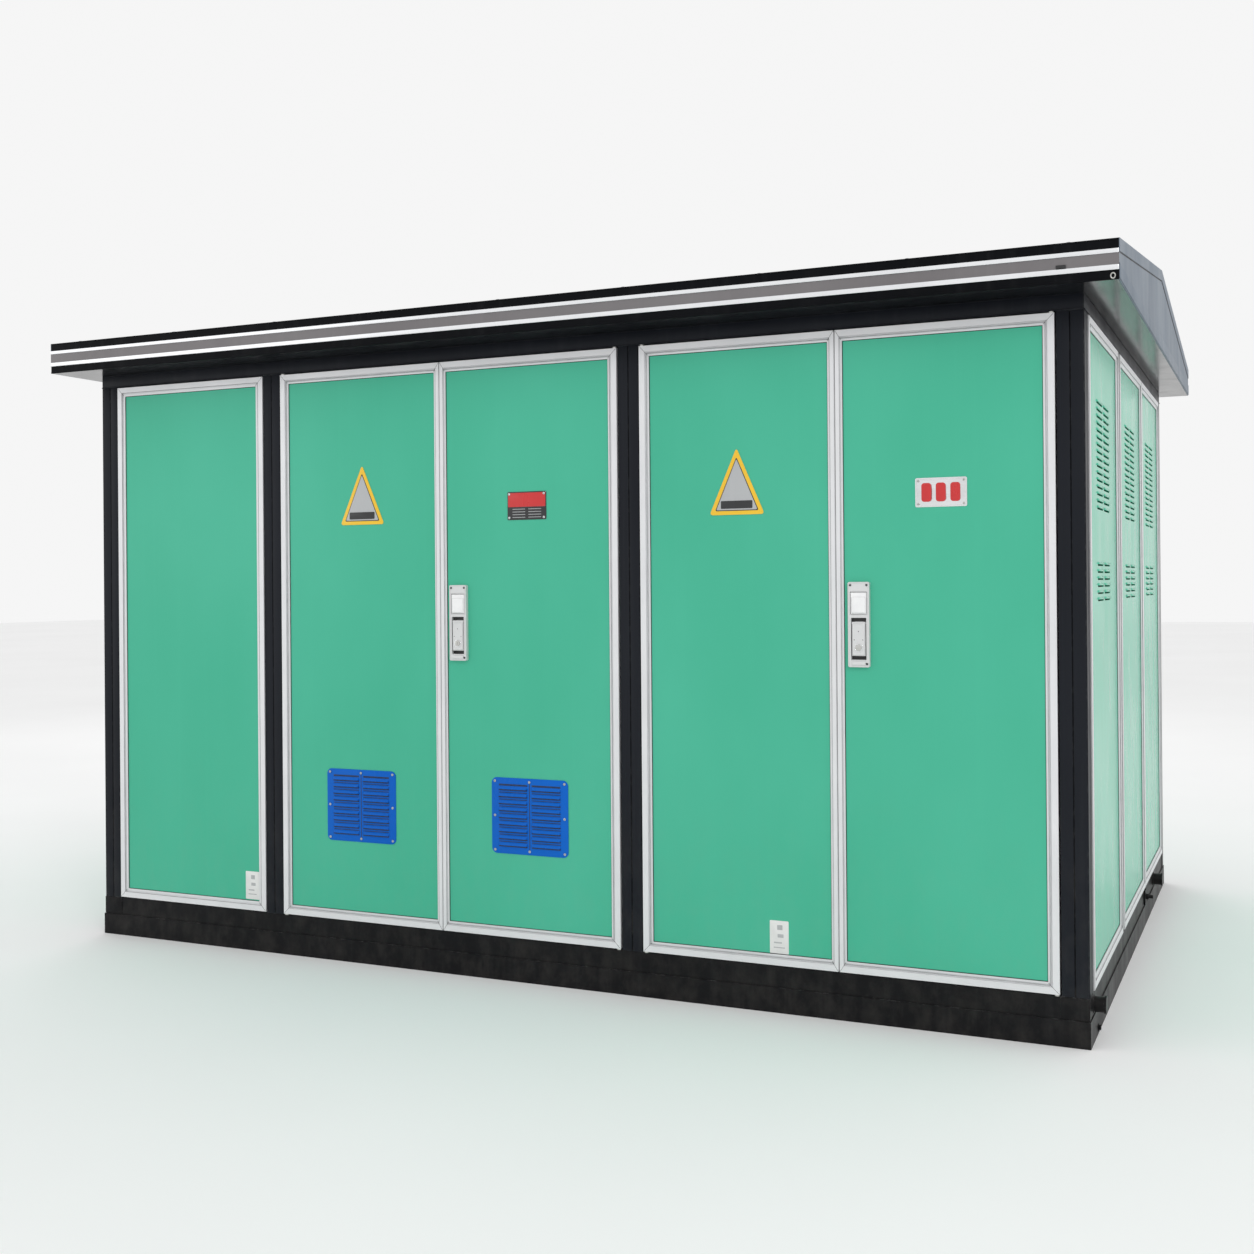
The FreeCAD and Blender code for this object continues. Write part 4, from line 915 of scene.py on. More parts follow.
@dataclass
class LouvrePlates:
    """The two blue louvre plates on the transformer leaves."""

    bays: Bays
    width: float = 0.269
    height: float = 0.238
    low: float = 0.397
    thickness: float = 0.002
    rows: int = 9
    corner: float = 0.018
    hood_depth: float = 0.006

    def build(self) -> None:
        """Build both plates."""
        for leaf, node in (("transformer_leaf_left", "louvre_plate_left"),
                           ("transformer_leaf_right", "louvre_plate_right")):
            self.build_plate(self.bays.named(leaf), node)

    def build_plate(self, bay: Bay, node: str) -> None:
        """Plate with a dark centre seam, hoods, painted shade in and above the slots, and screws."""
        face = bay.side.face
        half = self.width / 2
        plate = block((bay.centre - half, face - self.thickness, self.low),
                      (bay.centre + half, face, self.low + self.height))
        self.round_corners(plate)
        soften(plate, 0.0007, 2)
        front = face - self.thickness
        seam = soften(block((bay.centre - 0.0011, front - 0.0003, self.low + 0.006),
                            (bay.centre + 0.0011, front + 0.0006, self.low + self.height - 0.006)), 0.0001, 1)
        hoods, slots = self.hoods(bay.centre, front)
        finish_piece(merge([plate, hoods]), node + "_detail", bay.body,
                     Finish.LOUVRE_BLUE, (node,))
        # The dark centre seam, with the painted shade in the slots and above the hoods.
        finish_piece(merge([seam, slots]), node + "_slots", bay.body, Finish.GASKET)
        edge_x, edge_z, middle = half - 0.012, self.height / 2 - 0.011, self.low + self.height / 2
        places = [shift(bay.centre + x * edge_x, front, middle + z * edge_z)
                  for x in (-1, 0, 1) for z in (-1, 0, 1) if x or z]
        heads = merge(repeat(screw(0.0042, 0.0022), places))
        finish_piece(heads, node + "_screws", bay.body, Finish.ZINC)

    def round_corners(self, plate: bpy.types.Object) -> None:
        """Round the four corners seen from the front."""
        activate(plate)
        bpy.ops.object.mode_set(mode="EDIT")
        bpy.ops.mesh.select_mode(type="EDGE")
        bpy.ops.mesh.select_all(action="DESELECT")
        bpy.ops.object.mode_set(mode="OBJECT")
        for edge in plate.data.edges:
            ends = [plate.data.vertices[i].co for i in edge.vertices]
            edge.select = abs(ends[0].x - ends[1].x) + abs(ends[0].z - ends[1].z) < 1e-6
        bpy.ops.object.mode_set(mode="EDIT")
        bpy.ops.mesh.bevel(offset=self.corner, segments=8, affect="EDGES")
        leave_edit()

    def hoods(self, centre: float, front: float) -> tuple[bpy.types.Object, bpy.types.Object]:
        """Two columns of pressed hoods, with dark marks that paint the shade in the slots under them and
        above each hood.
        """
        width = self.width / 2 - 0.034
        pitch = (self.height - 0.040) / self.rows
        hood = block((0, -self.hood_depth, 0.0035), (width, 0.0004, 0.0155))
        select_faces(hood, lambda f: f.normal.y < -0.9)
        bpy.ops.transform.resize(value=(0.94, 1, 0.34))
        bpy.ops.transform.translate(value=(0, 0, -0.0038))
        leave_edit()
        soften(hood, 0.0022, 3, 15)
        # Painted shade: a dark block in the slot under each hood.
        slot = soften(block((0.0005, -self.hood_depth * 0.55, 0.0006),
                            (width - 0.0005, 0.0002, 0.0036)), 0.0004, 1)
        # Painted shade: a dark strip above each hood, where its recess lies.
        line = soften(block((0.0, -0.0007, 0.0152), (width, 0.0002, 0.0170)), 0.0002, 1)
        places, tops = [], []
        for row in range(self.rows):
            z = self.low + 0.022 + row * pitch
            for side in (-1, 1):
                x = centre + side * (width / 2 + 0.008) - width / 2
                places.append(shift(x, front, z))
                if row == self.rows - 1:
                    tops.append(shift(x, front, z + 0.0178))
        shade_marks = repeat(slot, places) + repeat(line, places)
        # Painted shade: a dark slit above the top row of hoods.
        top = soften(block((0.0005, -0.0010, 0), (width - 0.0005, 0.0002, 0.0022)), 0.0002, 1)
        shade_marks += repeat(top, tops)
        return merge(repeat(hood, places)), merge(shade_marks)


# ----------------------------------------------------------------------------
# Steel structure
# ----------------------------------------------------------------------------
@dataclass
class SteelWork:
    """Cover strips on posts and rails, base corner plates, bolts and welds."""

    strip: float = 0.0016
    seam: float = 0.0035
    post_low: float = 0.134
    post_high: float = 1.956
    rail_high: float = 1.9995
    plinth: tuple[float, float] = (0.0735, 0.1315)
    plate: float = 0.0016
    corner: float = 0.075
    gap: float = 0.004

    def build(self) -> None:
        """Build every strip, plate, bolt and weld."""
        self.build_posts()
        self.build_rails()
        self.build_base_plates()
        self.build_base_bolts()
        self.build_trunnion_welds()

    def strips(self, side: Side, low: float, high: float) -> list[bpy.types.Object]:
        """Two cover strips with a seam between them on one post face."""
        middle = (low + high) / 2
        pieces = []
        for start, end in ((low + 0.001, middle - self.seam / 2), (middle + self.seam / 2, high - 0.001)):
            piece = block((start, side.front - self.strip, self.post_low),
                          (end, side.front + 0.0002, self.post_high))
            pieces.append(side.turn(soften(piece, 0.0012, 3)))
        return pieces

    def build_posts(self) -> None:
        """Cover strips on the faces of corner posts and mullions."""
        c, g = self.corner, self.gap
        l, w = HALF_LENGTH, HALF_WIDTH
        faces = {
            Side.FRONT: [(-l, -l + c), (-0.985, -0.914), (0.344, 0.411), (l - c + g, l)],
            Side.RIGHT: [(-w, -w + c), (-0.3783, -0.3383), (w - c, w)],
            Side.REAR: [(-l, -l + c), (-0.415, -0.340), (0.910, 0.985), (l - c, l)],
            Side.LEFT: [(-w, -w + c - g), (0.3423, 0.3783), (w - c, w)],
        }
        for side, spans in faces.items():
            pieces, seams = [], []
            for low, high in spans:
                pieces += self.strips(side, low, high)
                middle = (low + high) / 2
                line = block((middle - self.seam / 2, side.front - self.strip * 0.4, self.post_low),
                             (middle + self.seam / 2, side.front + 0.0002, self.post_high))
                seams.append(side.turn(soften(line, 0.0003, 2)))
            finish_piece(merge(pieces), "post_covers_" + side.name.lower(), "housing",
                         Finish.FRAME_DARK)
            finish_piece(merge(seams), "post_seams_" + side.name.lower(), "housing",
                         Finish.FASCIA_BLACK)

    def build_rails(self) -> None:
        """A cover strip along each top rail, with a drip lip under it."""
        for side in Side:
            run = (HALF_LENGTH if side in (Side.FRONT, Side.REAR) else HALF_WIDTH) - 0.001
            front = side.front
            strip = soften(block((-run, front - self.strip, 1.9585),
                                 (run, front + 0.0002, self.rail_high)), 0.001, 2)
            lip = block((-run, front - 0.0045, 1.9572), (run, front + 0.0002, 1.9600))
            piece = merge([strip, soften(lip, 0.0009, 3)])
            side.turn(piece)
            finish_piece(piece, "rail_cover_" + side.name.lower(), "housing", Finish.FRAME_DARK)

    def build_base_plates(self) -> None:
        """Corner plates on the plinth ring, one on each face of each corner."""
        pieces = []
        for side in Side:
            run = HALF_LENGTH if side in (Side.FRONT, Side.REAR) else HALF_WIDTH
            for x in (-1, 1):
                low, high = sorted((x * (run + self.plate), x * (run - self.corner)))
                plate = block((low, side.front - self.plate, self.plinth[0]),
                              (high, side.front + 0.0002, self.plinth[1]))
                pieces.append(side.turn(soften(plate, 0.0007, 2)))
        finish_piece(merge(pieces), "plinth_corner_plates", "housing", Finish.BASE_BLACK)

    def build_base_bolts(self) -> None:
        """One bolt low in each end of the base, near the front."""
        places = []
        for side, along in ((Side.RIGHT, -1.017), (Side.LEFT, 1.017)):
            turn = Matrix.Rotation(math.radians(side.value), 4, "Z")
            places.append(turn @ shift(along, side.front - 0.004, 0.017))
        bolts = merge(repeat(bolt_head(0.0075, 0.007), places))
        finish_piece(bolts, "base_bolts", "housing", Finish.BASE_BLACK)

    def build_trunnion_welds(self) -> None:
        """A weld ring where each lifting stub meets the plinth."""
        rings = []
        for side in (-1, 1):
            for from_front in (0.075, 1.880):
                deselect()
                bpy.ops.mesh.primitive_torus_add(
                    major_radius=0.0215, minor_radius=0.0035, major_segments=40, minor_segments=8,
                    location=(side * (HALF_LENGTH + 0.0008), -HALF_WIDTH + from_front, 0.102),
                    rotation=(0, math.pi / 2, 0))
                ring_piece = settle(bpy.context.object)
                for vertex in ring_piece.data.vertices:
                    angle = math.atan2(vertex.co.z - 0.102, vertex.co.y + HALF_WIDTH - from_front)
                    vertex.co.x += side * 0.0006 * math.sin(13 * angle)
                bpy.ops.object.shade_smooth()
                rings.append(ring_piece)
        finish_piece(merge(rings), "trunnion_welds", "housing", Finish.BASE_BLACK)

    def dress(self) -> None:
        """Dress the CAD steelwork."""
        WARDROBE.dress_nodes(Finish.BASE_BLACK, ["base_channels", "plinth_rails", "lifting_trunnions"])
        WARDROBE.dress_nodes(Finish.FRAME_DARK, ["corner_posts", "mullions", "top_rails"])
        WARDROBE.dress_nodes(Finish.GALVANISED, ["floor_plates", "roof_frame"])
        WARDROBE.dress_nodes(Finish.BASE_BLACK, ["earth_terminals"])
        WARDROBE.dress_nodes(Finish.PARTITION_WHITE, ["partitions"])


@dataclass
class Roof:
    """Fascia strips, hems, seams, screws, and dark lines on the gables that paint the shadow under the
    sloping bands.
    """

    half_x: float = 1.805
    half_y: float = 1.307
    eaves: tuple[float, float] = (2.001, 2.106)
    ridge: float = 2.271
    trims: tuple[tuple[float, float], ...] = ((2.025, 2.039), (2.068, 2.080))
    trim_proud: float = 0.005
    rib_pitch: float = 0.42
    rib: tuple[float, float] = (0.022, 0.010)
    verge: float = 0.034

    def build(self) -> None:
        """Build the roof's detail."""
        self.build_trims()
        self.build_hems()
        self.build_clip()
        self.build_ribs()
        self.build_gable_lines()

    def slope_z(self, y: float, drop: float) -> float:
        """Height of the roof slope at Y, down from the verge line."""
        return self.eaves[1] + (self.ridge - self.eaves[1]) * (1 - abs(y) / self.half_y) - drop

    def build_trims(self) -> None:
        """Bright strips with a rounded front and closed ends."""
        strips = []
        for low, high in self.trims:
            for side in (-1, 1):
                ys = sorted((side * (self.half_y + self.trim_proud), side * self.half_y))
                strip = block((-self.half_x, ys[0], low), (self.half_x, ys[1], high))
                strips.append(soften(strip, 0.0022, 4))
        finish_piece(merge(strips), "fascia_strips", "housing", Finish.TRIM_BRIGHT,
                     ("fascia_trims",))

    def build_hems(self) -> None:
        """Folded hems along the fascia's top and bottom edges."""
        hems = []
        for side in (-1, 1):
            y = side * (self.half_y - 0.0012)
            for z, radius in ((self.eaves[0] + 0.0026, 0.0030), (self.eaves[1] - 0.0024, 0.0028)):
                hem = barrel((-self.half_x, y, z), (1, 0, 0), radius, 2 * self.half_x, 12)
                hems.append(soften(hem, 0.0006, 1))
        finish_piece(merge(hems), "fascia_hems", "housing", Finish.FASCIA_BLACK)

    def build_clip(self) -> None:
        """A small clip and an eye near the right end of the front fascia."""
        front = -self.half_y
        clip = soften(block((1.650, front - 0.0062, 2.0395), (1.675, front + 0.0005, 2.0485)), 0.0009, 2)
        finish_piece(clip, "fascia_clip", "housing", Finish.HANDLE)
        deselect()
        bpy.ops.mesh.primitive_torus_add(
            major_radius=0.0055, minor_radius=0.0016, major_segments=28, minor_segments=8,
            location=(1.790, front - 0.0012, 2.011), rotation=(math.pi / 2, 0, 0))
        eye = settle(bpy.context.object)
        eye.data.transform(shift(1.790, 0, 2.011) @ Matrix.Diagonal((1.0, 1.0, 1.25, 1.0))
                           @ shift(-1.790, 0, -2.011))
        bpy.ops.object.shade_smooth()
        finish_piece(eye, "fascia_eye", "housing", Finish.ZINC)

    def build_ribs(self) -> None:
        """Standing seams down both slopes, with a fixing screw near each end."""
        width, height = self.rib
        pitch_angle = math.atan2(self.ridge - self.eaves[1], self.half_y)
        run = math.hypot(self.half_y, self.ridge - self.eaves[1]) - 0.075
        ribs, heads = [], []
        count = int(2 * (self.half_x - 0.1) / self.rib_pitch)
        start = -count * self.rib_pitch / 2
        for side in (-1, 1):
            middle_y = side * (self.half_y - 0.005 + 0.066) / 2
            middle_z = self.slope_z(middle_y, 0.008)
            tilt = Matrix.Rotation(pitch_angle * (1 if side < 0 else -1), 4, "X")
            pattern = block((-width / 2, -run / 2, -0.0005), (width / 2, run / 2, height))
            select_faces(pattern, lambda f: f.normal.z > 0.9)
            bpy.ops.transform.resize(value=(0.45, 0.995, 1))
            leave_edit()
            soften(pattern, 0.002, 2, 20)
            places = [shift(start + i * self.rib_pitch, middle_y, middle_z) @ tilt for i in range(count + 1)]
            ribs += repeat(pattern, places)
            up = Matrix.Rotation(-math.pi / 2, 4, "X")
            spots = []
            for place in places:
                for along in (-run / 2 + 0.05, run / 2 - 0.05):
                    spots.append(place @ shift(0.03, along, 0.0) @ up)
            heads += repeat(bolt_head(0.005, 0.005), spots)
        finish_piece(merge(ribs), "roof_seams", "housing", Finish.ROOF_GREY)
        finish_piece(merge(heads), "roof_screws", "housing", Finish.ZINC)

    def build_gable_lines(self) -> None:
        """A dark line under each sloping band, painted as the shadow of its step; a dark line along the top
        of the hem; and a hem along the foot of both gables.
        """
        slope = math.atan2(self.ridge - self.eaves[1], self.half_y)
        length = math.hypot(self.ridge - self.eaves[1], self.half_y) - 0.012
        for side, name in ((1, "right"), (-1, "left")):
            face = side * self.half_x
            seams = []
            # Painted shadow: a dark strip just under each sloping band's step.
            for half in (-1, 1):
                y = half * self.half_y / 2
                xs = sorted((face - side * 0.0005, face + side * 0.0009))
                line = soften(block((xs[0], -length / 2, -0.0016), (xs[1], length / 2, 0.0016)), 0.0004, 1)
                turn = Matrix.Rotation(-half * slope, 4, "X")
                seams += repeat(line, [shift(0, y, self.slope_z(y, self.verge + 0.0016)) @ turn])
            for z in (self.eaves[0] + 0.041, ):
                xs = sorted((face - side * 0.0005, face + side * 0.0006))
                seams.append(soften(block((xs[0], -self.half_y + 0.004, z),
                                          (xs[1], self.half_y - 0.004, z + 0.0022)), 0.0003, 1))
            finish_piece(merge(seams), "gable_seams_" + name, "housing", Finish.GASKET)
            # The hem wears the gable finish, whose blue-grey is painted sky reflection.
            xs = sorted((face - side * 0.0005, face + side * 0.0022))
            hem = block((xs[0], -self.half_y + 0.002, self.eaves[0] + 0.003),
                        (xs[1], self.half_y - 0.002, self.eaves[0] + 0.041))
            finish_piece(soften(hem, 0.0012, 3), "gable_hem_" + name, "housing",
                         Finish.GABLE_BLUE)

    def dress(self) -> None:
        """Dress the CAD roof."""
        WARDROBE.dress_nodes(Finish.FASCIA_BLACK, ["fascia_boards"])
        WARDROBE.dress_nodes(Finish.BAND_GREY, ["fascia_band"])
        # Gable ends: the sky's reflection is painted into their colour.
        WARDROBE.dress_nodes(Finish.GABLE_BLUE, ["gable_ends"])
        WARDROBE.dress_nodes(Finish.ROOF_GREY, ["roof_sheets"])
        WARDROBE.dress_nodes(Finish.SOFFIT_DARK, ["eaves_soffit"])


# ----------------------------------------------------------------------------
# Locks and plates on the leaves
# ----------------------------------------------------------------------------
@dataclass
class PullLock:
    """Detail on one flush pull lock.

    Attributes:
        name: Stem of its CAD nodes and bodies.
        leaf: Bay that carries it.
        start: Plate's left edge in from the leaf's meeting edge.
    """

    name: str
    leaf: Bay
    start: float = 0.033
    width: float = 0.062
    low: float = 1.000
    height: float = 0.240
    thickness: float = 0.012
    flap: tuple[float, float, float] = (0.045, 0.061, 0.029)
    lever: tuple[float, float, float] = (0.038, 0.096, 0.112)
    tongue_front: float = 0.0115
    window_drop: float = 0.0115    # clears the plate with the flap up

    @property
    def x(self) -> float:
        """Middle of the plate."""
        return self.leaf.low + self.start + self.width / 2

    @property
    def front(self) -> float:
        """Y of the plate's front."""
        return self.leaf.side.face - self.thickness

    @property
    def top(self) -> float:
        """Top of the plate."""
        return self.low + self.height

    def add(self, piece: bpy.types.Object, name: str, body: str, finish: Finish, slot: str) -> None:
        """Turn a piece to the wall and finish it."""
        self.leaf.side.turn(piece)
        finish_piece(piece, "%s_%s" % (self.name, name), body, finish)

    def build(self) -> None:
        """Build every part of the lock's detail."""
        self.build_rim()
        self.build_foot()
        self.build_pocket_shade()
        self.build_screws()
        self.build_flap_window()
        self.build_lever_grip()
        self.build_key_cylinder()

    def build_rim(self) -> None:
        """A raised rim round the plate, and raised lips round both pockets."""
        half = self.width / 2
        rim = ring((self.x - half + 0.0008, self.x + half - 0.0008), (self.low + 0.0008, self.top - 0.0008),
                   0.0026, (self.front - 0.0013, self.front + 0.0002), 0.0007, 0.0042)
        parts = [rim]
        for width, height, down, room, side in ((*self.flap, 0.0015, 0.0015), (*self.lever, 0.011, 0.003)):
            x = width / 2 + side + 0.0022
            high, low = self.top - down + room + 0.0022, self.top - down - height - room - 0.0022
            parts.append(ring((self.x - x, self.x + x), (low, high), 0.0021,
                              (self.front - 0.0009, self.front + 0.0002), 0.0005, 0.0035))
        self.add(merge(parts), "rim", self.leaf.body, Finish.LOCK_GREY, "lock_grey")

    def build_foot(self) -> None:
        """The plain curved foot below the lever."""
        foot = block((self.x - 0.020, self.front - 0.0032, self.low + 0.006),
                     (self.x + 0.020, self.front + 0.0002, self.low + 0.0165))
        self.add(soften(foot, 0.0030, 5), "foot", self.leaf.body, Finish.LOCK_GREY, "lock_grey")

    def build_pocket_shade(self) -> None:
        """A dark ring on the floor of the lever's pocket: painted shade in the pocket."""
        width, height, down = self.lever
        floor = self.leaf.side.face - 0.0025
        top, low = self.top - down + 0.0107, self.top - down - height - 0.0107
        # Painted shade: a dark ring where the pocket's floor lies in shade.
        pocket_shade = ring((self.x - width / 2 - 0.0028, self.x + width / 2 + 0.0028), (low, top), 0.010,
                     (floor - 0.0005, floor + 0.0001), 0.0)
        self.add(pocket_shade, "pocket_shade", self.leaf.body, Finish.GASKET, "handle_black")

    def build_screws(self) -> None:
        """A screw in both top corners of the plate and one in a bottom corner, dark with the painted shade of
        a countersunk hole.
        """
        spots = ((-0.0235, self.height - 0.009), (0.0235, self.height - 0.009), (0.0235, 0.0095))
        places = [shift(self.x + x, self.front, self.low + z) for x, z in spots]
        heads = merge(repeat(screw(0.0033, 0.0020), places))
        # Painted shade: the dark finish on the heads stands in for the shade in their countersunk holes.
        self.add(heads, "screws", self.leaf.body, Finish.BREAKER, "pin_steel")

    def build_flap_window(self) -> None:
        """The crowned white window that covers the flap."""
        width, height, down = self.flap
        half = width / 2 - 0.0006
        face = self.front + self.tongue_front - self.thickness + 0.0005
        cover = block((self.x - half, face - 0.0048, self.top - down - height + 0.0006),
                      (self.x + half, face + 0.0008, self.top - down - self.window_drop))
        select_faces(cover, lambda f: f.normal.y < -0.9)
        bpy.ops.transform.resize(value=(0.80, 1, 0.86))
        bpy.ops.mesh.inset(thickness=0.009)
        bpy.ops.transform.translate(value=(0, -0.0008, 0))
        leave_edit()
        soften(cover, 0.0022, 4, 8)
        self.add(cover, "window", self.name + "_flap", Finish.FLAP_WHITE, "flap_white")

    def build_lever_grip(self) -> None:
        """The raised, dished body of the pull lever."""
        width, height, down = self.lever
        half = width / 2 - 0.0008
        top, low = self.top - down - 0.0045, self.top - down - height + 0.0008
        face = self.front + 0.0002
        grip = block((self.x - half, face - 0.0034, low), (self.x + half, face + 0.0010, top))
        select_faces(grip, lambda f: f.normal.y < -0.9)
        bpy.ops.transform.resize(value=(0.88, 1, 0.95))
        bpy.ops.mesh.inset(thickness=0.0045)
        bpy.ops.transform.translate(value=(0, 0.0014, 0))
        leave_edit()
        soften(grip, 0.0011, 3, 12)
        self.add(grip, "grip", self.name + "_lever", Finish.LOCK_GREY, "lock_grey")

    def build_key_cylinder(self) -> None:
        """The key cylinder in the lower part of the lever, with its keyway."""
        z = self.top - self.lever[2] - self.lever[1] * 0.76
        face = self.front - 0.0020
        collar = soften(barrel((self.x, face + 0.0006, z), (0, -1, 0), 0.0125, 0.0022, 40), 0.0008, 3)
        carve(collar, barrel((self.x, face, z), (0, -1, 0), 0.0092, 0.01, 40))
        core = soften(barrel((self.x, face + 0.0006, z), (0, -1, 0), 0.0090, 0.0030, 40), 0.0006, 2)
        carve(core, block((self.x - 0.0009, face - 0.01, z - 0.0042),
                          (self.x + 0.0009, face - 0.0002, z + 0.0042)))
        body = self.name + "_lever"
        dots = [barrel((self.x + x, self.front - 0.0016, z + dz), (0, -1, 0), 0.0014, 0.0009, 12)
                for x, dz in ((-0.0125, 0.022), (0.0125, 0.022), (0.0, 0.046))]
        self.add(soften(merge(dots), 0.0003, 1), "dots", body, Finish.BREAKER, "pin_steel")
        self.add(collar, "key_collar", body, Finish.CHROME, "pin_steel")
        self.add(core, "key_core", body, Finish.ZINC, "pin_steel")

    def dress(self) -> None:
        """Dress the lock's CAD nodes."""
        WARDROBE.dress_nodes(Finish.LOCK_GREY, [self.name + "_body", self.name + "_lever"])
        WARDROBE.dress_nodes(Finish.FLAP_WHITE, [self.name + "_flap"])
        WARDROBE.dress_nodes(Finish.ZINC, [self.name + "_bolt"])


@dataclass
class Plates:
    """Blank plates and stickers on the front: shapes only, no lettering."""

    bays: Bays

    def build(self) -> None:
        """Build the plates in their places."""
        self.build_triangle("transformer_leaf_left", -0.5865, 1.441)
        self.build_triangle("lv_leaf_left", 0.7215, 1.439)
        self.build_nameplate("transformer_leaf_right", 0.0265, 1.486)
        self.build_bar_plate("lv_leaf_right", 1.3185, 1.4855)
        self.build_sticker("front_hv", -1.047, 0.220)
        self.build_sticker("lv_leaf_left", 0.8405, 0.217)

    def sheet(self, corners: Sequence[tuple[float, float]], face: float, depth: float) -> bpy.types.Object:
        """A thin plate with the given outline, its back on the face.

        Args:
            corners: X and Z of each corner, in order.
            face: Y of the surface that it sits on.
            depth: Thickness.

        Returns:
            The plate, its outline rounded.
        """
        deselect()
        count = len(corners)
        bpy.ops.mesh.primitive_circle_add(vertices=count, radius=1, fill_type="NGON", location=(0, 0, 0))
        piece = bpy.context.object
        for vertex, (x, z) in zip(piece.data.vertices, corners):
            vertex.co = (x, face, z)
        bpy.ops.object.mode_set(mode="EDIT")
        bpy.ops.mesh.select_all(action="SELECT")
        bpy.ops.mesh.extrude_region_move(TRANSFORM_OT_translate={"value": (0, -depth, 0)})
        bpy.ops.mesh.select_all(action="SELECT")
        bpy.ops.mesh.normals_make_consistent(inside=False)
        leave_edit()
        return piece

    def rounded(self, corners: Sequence[tuple[float, float]], face: float, depth: float,
                radius: float) -> bpy.types.Object:
        """A thin plate whose corners are rounded, with a fine edge bevel."""
        piece = self.sheet(corners, face, depth)
        bpy.ops.object.mode_set(mode="EDIT")
        bpy.ops.mesh.select_mode(type="EDGE")
        bpy.ops.mesh.select_all(action="DESELECT")
        bpy.ops.object.mode_set(mode="OBJECT")
        for edge in piece.data.edges:
            ends = [piece.data.vertices[i].co for i in edge.vertices]
            edge.select = abs(ends[0].x - ends[1].x) + abs(ends[0].z - ends[1].z) < 1e-7
        bpy.ops.object.mode_set(mode="EDIT")
        bpy.ops.mesh.bevel(offset=radius, segments=6, affect="EDGES")
        leave_edit()
        return soften(piece, min(depth * 0.3, 0.0006), 2)

    def box_corners(self, x: float, z: float, width: float, height: float) -> list[tuple[float, float]]:
        """Corners of a rectangle about a centre."""
        return [(x - width / 2, z - height / 2), (x + width / 2, z - height / 2),
                (x + width / 2, z + height / 2), (x - width / 2, z + height / 2)]

    def build_triangle(self, leaf: str, x: float, low: float) -> None:
        """A yellow-rimmed triangle with a plain grey field and a plain bar."""
        bay = self.bays.named(leaf)
        face, width, height = bay.side.face, 0.171, 0.196
        def outline(inset: float) -> list[tuple[float, float]]:
            """The triangle's corners, moved in."""
            return [(x - width / 2 + inset * 1.55, low + inset), (x + width / 2 - inset * 1.55, low + inset),
                    (x, low + height - inset * 2.35)]
        rim = self.rounded(outline(0.0), face, 0.0016, 0.011)
        line = self.rounded(outline(0.0115), face - 0.0014, 0.0005, 0.006)
        fill = self.rounded(outline(0.0140), face - 0.0014, 0.0010, 0.005)
        bar = self.rounded(self.box_corners(x, low + 0.0295, 0.098, 0.023), face - 0.0022, 0.0009, 0.003)
        for piece, part, finish in ((rim, "rim", Finish.LABEL_YELLOW), (line, "line", Finish.LABEL_BLACK),
                                    (fill, "field", Finish.LABEL_GREY), (bar, "bar", Finish.LABEL_BLACK)):
            finish_piece(piece, "%s_triangle_%s" % (leaf, part), bay.body, finish)

    def build_nameplate(self, leaf: str, x: float, z: float) -> None:
        """A blank two-colour plate on four screws."""
        bay = self.bays.named(leaf)
        face = bay.side.face
        plate = self.rounded(self.box_corners(x, z, 0.137, 0.088), face, 0.0012, 0.004)
        top = self.rounded(self.box_corners(x, z + 0.0185, 0.131, 0.044), face - 0.0010, 0.0008, 0.002)
        lines = []
        for row in range(4):
            low = z - 0.0105 - row * 0.0085
            lines += [self.rounded(self.box_corners(x + side * 0.028, low, 0.045, 0.0018),
                                   face - 0.0010, 0.0006, 0.0006) for side in (-1, 1)]
        places = [shift(x + sx * 0.061, face - 0.0016, z + sz * 0.037) for sx in (-1, 1) for sz in (-1, 1)]
        heads = merge(repeat(screw(0.0040, 0.0022), places))
        for piece, part, finish in ((plate, "plate", Finish.LABEL_BLACK), (top, "band", Finish.LABEL_RED),
                                    (merge(lines), "rules", Finish.LABEL_GREY),
                                    (heads, "screws", Finish.CHROME)):
            finish_piece(piece, "nameplate_" + part, bay.body, finish)

    def build_bar_plate(self, leaf: str, x: float, z: float) -> None:
        """A bright plate with three plain raised red bars."""
        bay = self.bays.named(leaf)
        face = bay.side.face
        plate = self.rounded(self.box_corners(x, z, 0.143, 0.081), face, 0.0015, 0.005)
        rim = ring((x - 0.0700, x + 0.0700), (z - 0.0390, z + 0.0390), 0.0030,
                   (face - 0.0024, face - 0.0013), 0.0005)
        bars = [self.rounded(self.box_corners(x + i * 0.040, z, 0.027, 0.052), face - 0.0013, 0.0045, 0.008)
                for i in (-1, 0, 1)]
        places = [shift(x + sx * 0.063, face - 0.0015, z + sz * 0.032) for sx in (-1, 1) for sz in (-1, 1)]
        heads = merge(repeat(screw(0.0034, 0.0020), places))
        finish_piece(merge([plate, rim]), "bar_plate", bay.body, Finish.CHROME)
        finish_piece(merge(bars), "bar_plate_bars", bay.body, Finish.LABEL_RED)
        finish_piece(heads, "bar_plate_screws", bay.body, Finish.ZINC)

    def build_sticker(self, leaf: str, x: float, z: float) -> None:
        """A white sticker with plain grey blocks."""
        bay = self.bays.named(leaf)
        face = bay.side.face
        base = self.rounded(self.box_corners(x, z, 0.057, 0.095), face, 0.0005, 0.003)
        blocks = [self.box_corners(x + 0.002, z + 0.028, 0.016, 0.014),
                  self.box_corners(x + 0.004, z + 0.004, 0.018, 0.010),
                  self.box_corners(x - 0.004, z - 0.016, 0.024, 0.004),
                  self.box_corners(x, z - 0.030, 0.034, 0.003)]
        prints = merge([self.rounded(corners, face - 0.00045, 0.0002, 0.001) for corners in blocks])
        finish_piece(base, leaf + "_sticker", bay.body, Finish.LABEL_WHITE)
        finish_piece(prints, leaf + "_sticker_blocks", bay.body, Finish.LABEL_GREY)


